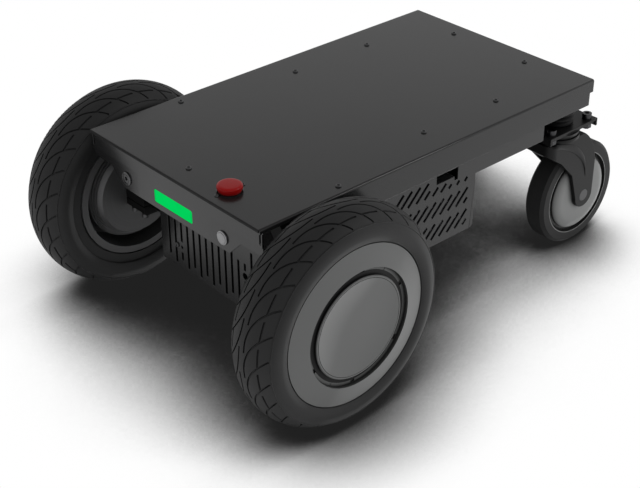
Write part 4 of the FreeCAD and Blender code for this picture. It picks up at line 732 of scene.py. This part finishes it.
# %% Screw forms
TIP_WIDTH, TIP_LENGTH = 0.8, 0.2
SINK_WIDTH, SINK_DEPTH = 1.18, 0.12
DOME_FOOT, DOME_FOOT_RISE, DOME_RIM, DOME_FLAT = 0.95, 0.1, 0.3, 0.66
DOME_SOCKET, DOME_SOCKET_DEPTH = 0.5, 0.65
CYLINDER_FOOT, CYLINDER_FOOT_RISE, CYLINDER_CHAMFER, CYLINDER_FLAT = 0.96, 0.06, 0.12, 0.86
CYLINDER_SOCKET, CYLINDER_SOCKET_DEPTH = 0.52, 0.5


def dome(low, high, outer, inner, steps=5):
    """Rings of a quarter round from a rim up to a flat."""
    turns = [math.pi / 2 * step / steps for step in range(steps + 1)]
    rise, run = high - low, outer - inner
    return [(low + rise * math.sin(turn), inner + run * math.cos(turn), 0) for turn in turns]


def socket(top, radius, depth):
    """Rings of a hexagon socket with a small countersink."""
    return [(top, radius * SINK_WIDTH, 0), (top - radius * SINK_DEPTH, radius, HEXAGON),
            (top - depth, radius, HEXAGON)]


def shank(radius, length):
    return [(-length, radius * TIP_WIDTH, 0), (radius * TIP_LENGTH - length, radius, 0), (0, radius, 0)]


def button_screw(mesh, spot, head, height, radius, length, axis=(0, 0, 1)):
    rings = shank(radius, length) + [(0, head * DOME_FOOT, 0), (height * DOME_FOOT_RISE, head, 0)]
    rings += dome(height * DOME_RIM, height, head, head * DOME_FLAT)
    lathe(mesh, spot, axis, rings + socket(height, head * DOME_SOCKET, height * DOME_SOCKET_DEPTH))


def cap_screw(mesh, spot, head, height, radius, length, axis=(0, 0, 1)):
    rings = shank(radius, length) + [(0, head * CYLINDER_FOOT, 0), (head * CYLINDER_FOOT_RISE, head, 0)]
    rings += [(height - head * CYLINDER_CHAMFER, head, 0), (height, head * CYLINDER_FLAT, 0)]
    lathe(mesh, spot, axis, rings + socket(height, head * CYLINDER_SOCKET, height * CYLINDER_SOCKET_DEPTH))


print("screw forms ready")

# %% [markdown]
# ### Screws of the deck
# Nine screws hold the deck and two small ones the stop button. They could be objects that share one mesh.
# They never move against each other, so one mesh holds them all, at the places of the CAD screws.

# %% Deck screws
DECK_TOP = 262
DECK_SCREW = {"head": 3.6, "height": 2, "radius": 2, "length": 12}
STOP_SCREW = {"head": 2.6, "height": 1.3, "radius": 1.5, "length": 4}
DECK_SCREWS = [(170.6, 150.5), (170.6, -150.5), (0, 121), (0, -121), (-132.8, 121), (-132.8, -121),
               (-252, 66), (-252, -66), (272.5, 0)]
STOP_SPOT = (269.3, 73.7)
STOP_SCREW_PITCH = 39

mesh = bmesh.new()
for x, y in DECK_SCREWS:
    button_screw(mesh, (x, y, DECK_TOP), **DECK_SCREW)
for side in (-0.5, 0.5):
    button_screw(mesh, (STOP_SPOT[0] + STOP_SCREW_PITCH * side, STOP_SPOT[1], DECK_TOP), **STOP_SCREW)
finish_piece("deck_button_screws", mesh, "dull_steel", "chassis", ["deck_screws"])

# %% [markdown]
# ### Screws of the axle clamps
# Four cap screws reach up through each axle clamp into the motor's mount, with their heads below. The cap
# head's form serves here too: with an axis that points down, the lathe turns it over.

# %% Clamp screws
AXLE_X, AXLE_Z = AXLE[0] / MM, AXLE[1] / MM
CLAMP_UNDER, CLAMP_ROWS, CLAMP_REACH = 127, (143.5, 166.5), 15
CLAMP_SCREW = {"head": 5, "height": 6, "radius": 3, "length": 30.5}

mesh = bmesh.new()
for side in (-1, 1):
    for across in CLAMP_ROWS:
        for fore in (-CLAMP_REACH, CLAMP_REACH):
            cap_screw(mesh, (AXLE_X + fore, across * side, CLAMP_UNDER), **CLAMP_SCREW, axis=(0, 0, -1))
finish_piece("clamp_cap_screws", mesh, "dull_steel", "chassis", ["clamp_bolts"])

# %% [markdown]
# ### The grille's bolt and grommet
# Two of the grille's slots are broken by a land. One land carries a bolt, and the other a hole for a cable
# with a rubber grommet round it, so that the sheet's edge cannot cut the cable. The grommet is a ring with
# a groove that sits in the sheet.

# %% Grille fittings
BOX_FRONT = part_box("battery_box")[1].x / MM
SHEET = 2
BOLT_SPOT, GRILLE_BOLT = (-67.15, 116), {"head": 3.6, "height": 2, "radius": 2, "length": 8}
GLAND_SPOT, GLAND_RADIUS = (82.08, 133), 4.6
GLAND_WALL, GLAND_LIP, LIP_ROUND, GLAND_SLACK = 1.2, 1, 0.4, 0.05

mesh = bmesh.new()
button_screw(mesh, (BOX_FRONT, *BOLT_SPOT), **GRILLE_BOLT, axis=(1, 0, 0))
finish_piece("grille_bolt", mesh, "dull_steel", "chassis")

mesh = bmesh.new()
lip, bore, neck = GLAND_RADIUS + GLAND_WALL, GLAND_RADIUS - GLAND_WALL, GLAND_RADIUS - GLAND_SLACK
shoulder = GLAND_LIP - LIP_ROUND
front_lip = [(GLAND_SLACK, neck, 0), (GLAND_SLACK, lip, 0), (shoulder, lip, 0),
             (GLAND_LIP, lip - LIP_ROUND, 0), (GLAND_LIP, bore + LIP_ROUND, 0), (shoulder, bore, 0)]
rear_lip = [(-SHEET - height, radius, 0) for height, radius, _ in front_lip[::-1]]
grommet = rear_lip[1:] + front_lip + rear_lip[:1]
lathe(mesh, (BOX_FRONT, *GLAND_SPOT), (1, 0, 0), grommet, hollow=True)
finish_piece("cable_grommet", mesh, "black_rubber", "chassis")

# %% [markdown]
# ### The push button and the charging port
# The power button is a metal cap in a bright bezel: a thin shadow gap runs between them, and a shallow ring
# is turned into the cap's face. The port beside the light has the same bezel, round a plug with a hole for
# a pin. Both take the place and size of their CAD solids, with the fine steps added.

# %% Form of a fitting
PANEL_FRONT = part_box("front_panel")[1].x / MM
FITTING_HEIGHT, FITTING_SIDE = 219.5, 94.5
FITTING_DEPTH, TUBE_RADIUS, NUT_RADIUS, NUT_BACK, NUT_THICK = 22, 8, 11, 2, 4
BEZEL, BEZEL_RADIUS, BEZEL_SEAT, BEZEL_ROUND, BORE_BEVEL = 1.8, 9, 0.02, 0.8, 0.25
ROUND_STEPS = 3


def bezel_rings(bore, well):
    """The outside of a fitting, from its rear end over the nut and the bezel into its bore."""
    nut = [(-NUT_BACK - NUT_THICK, NUT_RADIUS, HEXAGON), (-NUT_BACK, NUT_RADIUS, HEXAGON)]
    tube = [(-FITTING_DEPTH, TUBE_RADIUS, 0), (-NUT_BACK - NUT_THICK, TUBE_RADIUS, 0)]
    rim = [(-NUT_BACK, TUBE_RADIUS, 0), (BEZEL_SEAT, TUBE_RADIUS, 0), (BEZEL_SEAT, BEZEL_RADIUS, 0)]
    rim += dome(BEZEL / 2, BEZEL, BEZEL_RADIUS, BEZEL_RADIUS - BEZEL_ROUND, ROUND_STEPS)
    rim += [(BEZEL, bore + BORE_BEVEL, 0), (BEZEL - BORE_BEVEL, bore, 0), (BEZEL - well, bore, 0)]
    return tube + nut + rim


print("panel front at", round(PANEL_FRONT, 2), "mm")

# %% Push button
BUTTON_WELL = 11
CAP_RADIUS, CAP_PROUD, CAP_LENGTH, CAP_SLACK = 7, BEZEL + 0.6, 8, 0.1
FACE_DROP, FACE_ROUND, FACE_MIDDLE = 0.4, 0.5, 0.4
CAP_MARK, MARK_DEPTH, MARK_TOP, MARK_FLOOR = CAP_RADIUS * 0.6, 0.25, 0.5, 0.3


def ringed_face(proud):
    """A cap's face with a softened rim and one turned ring."""
    face = dome(proud - FACE_DROP, proud, CAP_RADIUS, CAP_RADIUS - FACE_ROUND, ROUND_STEPS)
    return face + [(proud, CAP_MARK + MARK_TOP, 0), (proud - MARK_DEPTH, CAP_MARK + MARK_FLOOR, 0),
                   (proud - MARK_DEPTH, CAP_MARK - MARK_FLOOR, 0), (proud, CAP_MARK - MARK_TOP, 0),
                   (proud, FACE_MIDDLE, 0)]


mesh = bmesh.new()
lathe(mesh, (PANEL_FRONT, FITTING_SIDE, FITTING_HEIGHT), (1, 0, 0),
      bezel_rings(CAP_RADIUS + CAP_SLACK, BUTTON_WELL))
finish_piece("button_bezel", mesh, "button_metal", "chassis", ["power_button_barrel"])

mesh = bmesh.new()
cap = [(CAP_PROUD - CAP_LENGTH, CAP_RADIUS, 0)] + ringed_face(CAP_PROUD)
lathe(mesh, (PANEL_FRONT, FITTING_SIDE, FITTING_HEIGHT), (1, 0, 0), cap)
finish_piece("button_cap", mesh, "button_metal", "power_cap", ["power_button"])

# %% Charging port
PORT_BORE, PORT_WELL = 7.2, 1
PLUG_SUNK, PLUG_RADIUS, PIN_BORE, PIN_DEPTH, PLUG_BEVEL = 0.4, 5.4, 2.6, 3, 0.2

mesh = bmesh.new()
plug = BEZEL - PLUG_SUNK
plug_rings = [(BEZEL - PORT_WELL, PLUG_RADIUS + PLUG_BEVEL, 0), (plug - PLUG_BEVEL, PLUG_RADIUS, 0),
              (plug, PLUG_RADIUS - PLUG_BEVEL, 0), (plug, PIN_BORE + PLUG_BEVEL, 0),
              (plug - PLUG_BEVEL, PIN_BORE, 0), (plug - PIN_DEPTH, PIN_BORE, 0)]
lathe(mesh, (PANEL_FRONT, -FITTING_SIDE, FITTING_HEIGHT), (1, 0, 0),
      bezel_rings(PORT_BORE, PORT_WELL) + plug_rings)
finish_piece("port_fitting", mesh, "port_metal", "chassis", ["charge_port"])

# %% [markdown]
# ## The stop button
# The red head is a hollow moulded cap over a fixed red sleeve, so that no gap opens when it is pressed. The
# CAD head is solid; here the cap has its wall and its rounded rim, and the sleeve stands inside it on the
# black flange.

# %% Stop head
STOP_LOW, STOP_HIGH = (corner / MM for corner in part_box("stop_button"))
HEAD_RADIUS = (STOP_HIGH.x - STOP_LOW.x) / 2
HEAD_HEIGHT, HEAD_WALL, HEAD_ROOF, HEAD_MIDDLE = 5.8, 1.2, 2.4, 0.3
HEAD_TOP, HEAD_UNDER = STOP_HIGH.z, STOP_HIGH.z - HEAD_HEIGHT
RIM_FALL, CROWN_RADIUS, CROWN_FALL, CROWN_STEPS = 2.6, 11.5, 0.25, 7
SWELL_RADIUS, SWELL_FALL = CROWN_RADIUS * 0.6, 0.08
CORNER_IN, CORNER_DOWN, LIP_INSIDE, LIP_OUTSIDE = 1, 0.6, 0.3, 0.4

mesh = bmesh.new()
inner, roof = HEAD_RADIUS - HEAD_WALL, HEAD_TOP - HEAD_ROOF
cap = [(roof, HEAD_MIDDLE, 0), (roof, inner - CORNER_IN, 0), (roof - CORNER_DOWN, inner, 0),
       (HEAD_UNDER + LIP_INSIDE, inner, 0), (HEAD_UNDER, inner + LIP_INSIDE, 0),
       (HEAD_UNDER, HEAD_RADIUS - LIP_OUTSIDE, 0), (HEAD_UNDER + LIP_OUTSIDE, HEAD_RADIUS, 0)]
cap += dome(HEAD_TOP - RIM_FALL, HEAD_TOP - CROWN_FALL, HEAD_RADIUS, CROWN_RADIUS, CROWN_STEPS)
cap += [(HEAD_TOP - SWELL_FALL, SWELL_RADIUS, 0), (HEAD_TOP, HEAD_MIDDLE, 0)]
lathe(mesh, (*STOP_SPOT, 0), (0, 0, 1), cap)
finish_piece("stop_cap", mesh, "red_plastic", "stop_head", ["stop_button"])

# %% Stop sleeve
FLANGE_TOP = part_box("stop_body")[1].z / MM
SLEEVE_GAP, SLEEVE_WALL, SLEEVE_UP = 0.25, 2, 0.8
BEVEL_DOWN, BEVEL_IN = 0.2, 0.3

mesh = bmesh.new()
outer, sleeve_top = inner - SLEEVE_GAP, HEAD_UNDER + SLEEVE_UP
sleeve = [(FLANGE_TOP, outer - SLEEVE_WALL, 0), (FLANGE_TOP, outer, 0), (sleeve_top - BEVEL_DOWN, outer, 0),
          (sleeve_top, outer - BEVEL_IN, 0), (sleeve_top, outer - SLEEVE_WALL, 0)]
lathe(mesh, (*STOP_SPOT, 0), (0, 0, 1), sleeve, hollow=True)
finish_piece("stop_sleeve", mesh, "red_plastic", "chassis")

# %% [markdown]
# ## The hub discs
# The disc in the middle of each drive wheel is dished: flat in the middle and rising towards its rim, so
# that light from one side shades it the opposite way to the ring around it. The CAD disc is a plain cover
# of the same size. The dish is turned from a power curve, with a fine line near the rim. A black ring lies
# round it in the groove: a dark sheet put there as painted shade.

# %% Dished hub discs
WHEEL_SEGMENTS = 144
DISC_RIM, DISC_EDGE, DISC_FOOT = 62.3, 65.5, 63.5
DISC_WALL, DISC_BEVEL, DISC_LINE, DOME_RISE = 1.6, 1, 0.6, 1.2
DISH_DEPTH, DISH_POWER, DISH_STEPS, DISH_MIDDLE = 5.0, 2.9, 14, 0.01
SHADE_RING_LOW, SHADE_RING_TOP, SHADE_RING_FLANGE, SHADE_RING_THICK, SHADE_RING_GAP = 245.52, 248.6, 71, 0.3, 0.05


def dish(share, face):
    """One ring of the dished face, at a share of the rim's radius."""
    return (face - DISH_DEPTH * (1 - share ** DISH_POWER), DISC_RIM * share, 0)


for side, name in ((1, "left"), (-1, "right")):
    low, high = (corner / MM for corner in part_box(f"hub_disc_{name}"))
    back, face = sorted((abs(low.y), abs(high.y)))
    rim = face - DOME_RISE
    shares = [DISH_MIDDLE] + [step / DISH_STEPS for step in range(1, DISH_STEPS + 1)]
    disc = [dish(share, rim - DISC_WALL) for share in shares[:-1]]
    disc += [(back, DISC_FOOT, 0), (back, DISC_EDGE, 0), (rim - DISC_BEVEL, DISC_EDGE, 0),
             (rim, DISC_EDGE - DISC_BEVEL, 0), (rim, DISC_RIM + DISC_LINE, 0),
             (rim - DISC_LINE, DISC_RIM + DISC_LINE, 0), (rim - DISC_LINE, DISC_RIM, 0)]
    disc += [dish(share, rim) for share in shares[::-1]]
    mesh = bmesh.new()
    lathe(mesh, (AXLE_X, 0, AXLE_Z), (0, side, 0), disc, segments=WHEEL_SEGMENTS)
    finish_piece(f"hub_dish_{name}", mesh, "wheel_trim", f"drive_wheel_{name}", [f"hub_disc_{name}"])
    # The black ring in the groove is a dark sheet put there as painted shade.
    flange, wall = SHADE_RING_LOW + SHADE_RING_THICK, DISC_EDGE + SHADE_RING_GAP
    shade_ring = [(SHADE_RING_LOW, wall, 0), (SHADE_RING_LOW, SHADE_RING_FLANGE, 0), (flange, SHADE_RING_FLANGE, 0),
              (flange, wall + SHADE_RING_THICK, 0), (SHADE_RING_TOP, wall + SHADE_RING_THICK, 0), (SHADE_RING_TOP, wall, 0)]
    mesh = bmesh.new()
    lathe(mesh, (AXLE_X, 0, AXLE_Z), (0, side, 0), shade_ring, hollow=True, segments=WHEEL_SEGMENTS)
    finish_piece(f"disc_shade_ring_{name}", mesh, "black_rubber", f"drive_wheel_{name}")

# %% [markdown]
# ## The caster wheels' caps
# Each caster wheel carries a smooth grey cap on both sides. It stands almost as far out as the fork leaves
# room, and its edge rolls over into a groove before the tyre, which its finish paints black as shade. The
# CAD wheel has the core that holds the cap, so the cap is turned here and set on it.

# %% Caster caps
CASTER_X, CASTER_Y, CASTER_Z = -292, 132, 77
CAP_FACE, CAP_FLAT, CAP_EDGE, CAP_LOW, HUB_RADIUS = 21.2, 40, 54, 13, 15.3
CAP_BACK, CAP_BEVEL, CAP_ROLL = [(15.8, CAP_FLAT, 0), (14.2, 50, 0)], 0.4, 0.6
CAP_STEPS, CAP_SEGMENTS = 12, 96

cap = [(CAP_BACK[0][0], HUB_RADIUS, 0), *CAP_BACK, (CAP_LOW, CAP_EDGE - 1, 0), (CAP_LOW, CAP_EDGE, 0)]
cap += dome(CAP_LOW + CAP_ROLL, CAP_FACE, CAP_EDGE, CAP_FLAT, CAP_STEPS)
cap += [(CAP_FACE, HUB_RADIUS + CAP_BEVEL, 0), (CAP_FACE - CAP_BEVEL, HUB_RADIUS, 0)]

for side, name in ((1, "left"), (-1, "right")):
    mesh = bmesh.new()
    for outward in (-1, 1):
        middle = (CASTER_X, CASTER_Y * side, CASTER_Z)
        lathe(mesh, middle, (0, outward, 0), cap, hollow=True, segments=CAP_SEGMENTS)
    finish_piece(f"caster_caps_{name}", mesh, "caster_plastic", f"caster_wheel_{name}")

# %% [markdown]
# ## The deck's edge seal
# A rubber strip lies between deck and front panel. A black lip of it is laid over the cut edge of the deck,
# so that the edge shows as a dark line. Its section is the same all along, so it is drawn once and pulled
# across the platform.

# %% Edge seal
SEAL_LOW, SEAL_HIGH = (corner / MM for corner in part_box("deck_seal"))
DECK_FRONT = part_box("top_cover")[1].x / MM
SEAL_HALF = 164
SLACK = 0.05
LAP_MIDDLE, LAP_HALF, LAP_OUT, LAP_ROUND, LAP_STEPS = 259.9, 1.9, 0.5, 0.3, 6


def pulled(mesh, section, start, end):
    """Adds a bar with that section of (x, z) points between two places across the platform."""
    rims = [[mesh.verts.new(Vector((x, y, z)) * MM) for x, z in section] for y in (start, end)]
    mesh.faces.new(rims[0])
    mesh.faces.new(rims[1][::-1])
    for step in range(len(section)):
        after = (step + 1) % len(section)
        mesh.faces.new((rims[0][step], rims[0][after], rims[1][after], rims[1][step]))


front = DECK_FRONT + SLACK
turns = [math.pi / 2 * step / LAP_STEPS for step in range(-LAP_STEPS, LAP_STEPS + 1)]
lap = [(front + LAP_OUT + LAP_ROUND * math.cos(turn), LAP_MIDDLE + LAP_HALF * math.sin(turn))
       for turn in turns]
section = [(SEAL_LOW.x, SEAL_LOW.z), *lap, (front, lap[-1][1]), (front, SEAL_HIGH.z - SLACK),
           (SEAL_LOW.x, SEAL_HIGH.z - SLACK)]
mesh = bmesh.new()
pulled(mesh, section, -SEAL_HALF, SEAL_HALF)
finish_piece("edge_seal", mesh, "black_rubber", "chassis", ["deck_seal"])

# %% [markdown]
# ## Ribs in the caster forks
# Each fork is pressed from sheet, and a rib is pressed into its legs so that they stay stiff. The rib is
# seen as a low swelling that follows the bend of the leg. Two curves give its edges, and between them the
# sheet rises in a soft arc.

# %% Curves of a rib
RIB_LOW = [Vector(point) for point in ((-212, 175.3), (-243.3, 168.8), (-286.3, 146.1), (-291.4, 103.7))]
RIB_HIGH = [Vector(point) for point in ((-220.4, 180.7), (-246, 176.5), (-272, 166), (-286.1, 138.1))]
FORK_FRONT = -209


def on_curve(points, share):
    """A point on the cubic curve that four points control."""
    rest = 1 - share
    weights = (rest ** 3, 3 * rest ** 2 * share, 3 * rest * share ** 2, share ** 3)
    return sum((point * weight for point, weight in zip(points, weights)), Vector((0, 0)))


def wrapped(x):
    """How far the leg's face has turned in, in the bend at the fork's front."""
    past = max(0.0, x - FORK_FRONT + FRONT_BEND)
    return FRONT_BEND - math.sqrt(FRONT_BEND ** 2 - past ** 2)


print("a rib is", round((RIB_LOW[0] - RIB_LOW[-1]).length), "mm from end to end")

# %% Fork ribs
RIB_RISE, RIB_ROOT, RIB_FULLNESS, RIB_ENDS = 1.6, 0.3, 0.6, 4
RIB_STEPS, RIB_ACROSS, RIB_CREASE = 32, 10, 60


def pressed_rib(mesh, face, outward):
    """A closed swelling on one face of a leg, rooted a little way into the sheet."""
    loops = []
    for step in range(RIB_STEPS + 1):
        share = step / RIB_STEPS
        low, high = on_curve(RIB_LOW, share), on_curve(RIB_HIGH, share)
        swell = RIB_RISE * min(1.0, RIB_ENDS * math.sqrt(share * (1 - share)))
        loop = []
        for part in range(RIB_ACROSS + 1):
            rise = swell * math.sin(math.pi * part / RIB_ACROSS) ** RIB_FULLNESS
            loop.append((*low.lerp(high, part / RIB_ACROSS), rise))
        loop += [(*high, -RIB_ROOT), (*low, -RIB_ROOT)]
        loops.append([mesh.verts.new(Vector((x, face + outward * (rise - wrapped(x)), z)) * MM)
                      for x, z, rise in loop])
    for loop, after in zip(loops, loops[1:]):
        for here in range(len(loop)):
            there = (here + 1) % len(loop)
            mesh.faces.new((loop[here], loop[there], after[there], after[here]))
    mesh.faces.new(loops[0])
    mesh.faces.new(loops[-1][::-1])


for side, name in ((1, "left"), (-1, "right")):
    mesh = bmesh.new()
    for outward in (-1, 1):
        pressed_rib(mesh, CASTER_Y * side + LEG_FACE * outward, outward)
    finish_piece(f"fork_ribs_{name}", mesh, "caster_steel", f"caster_swivel_{name}", crease=RIB_CREASE)

# %% [markdown]
# ## The end
# All pieces are made. The visual model may not outgrow the CAD model.

# %% The end
print("all pieces made")
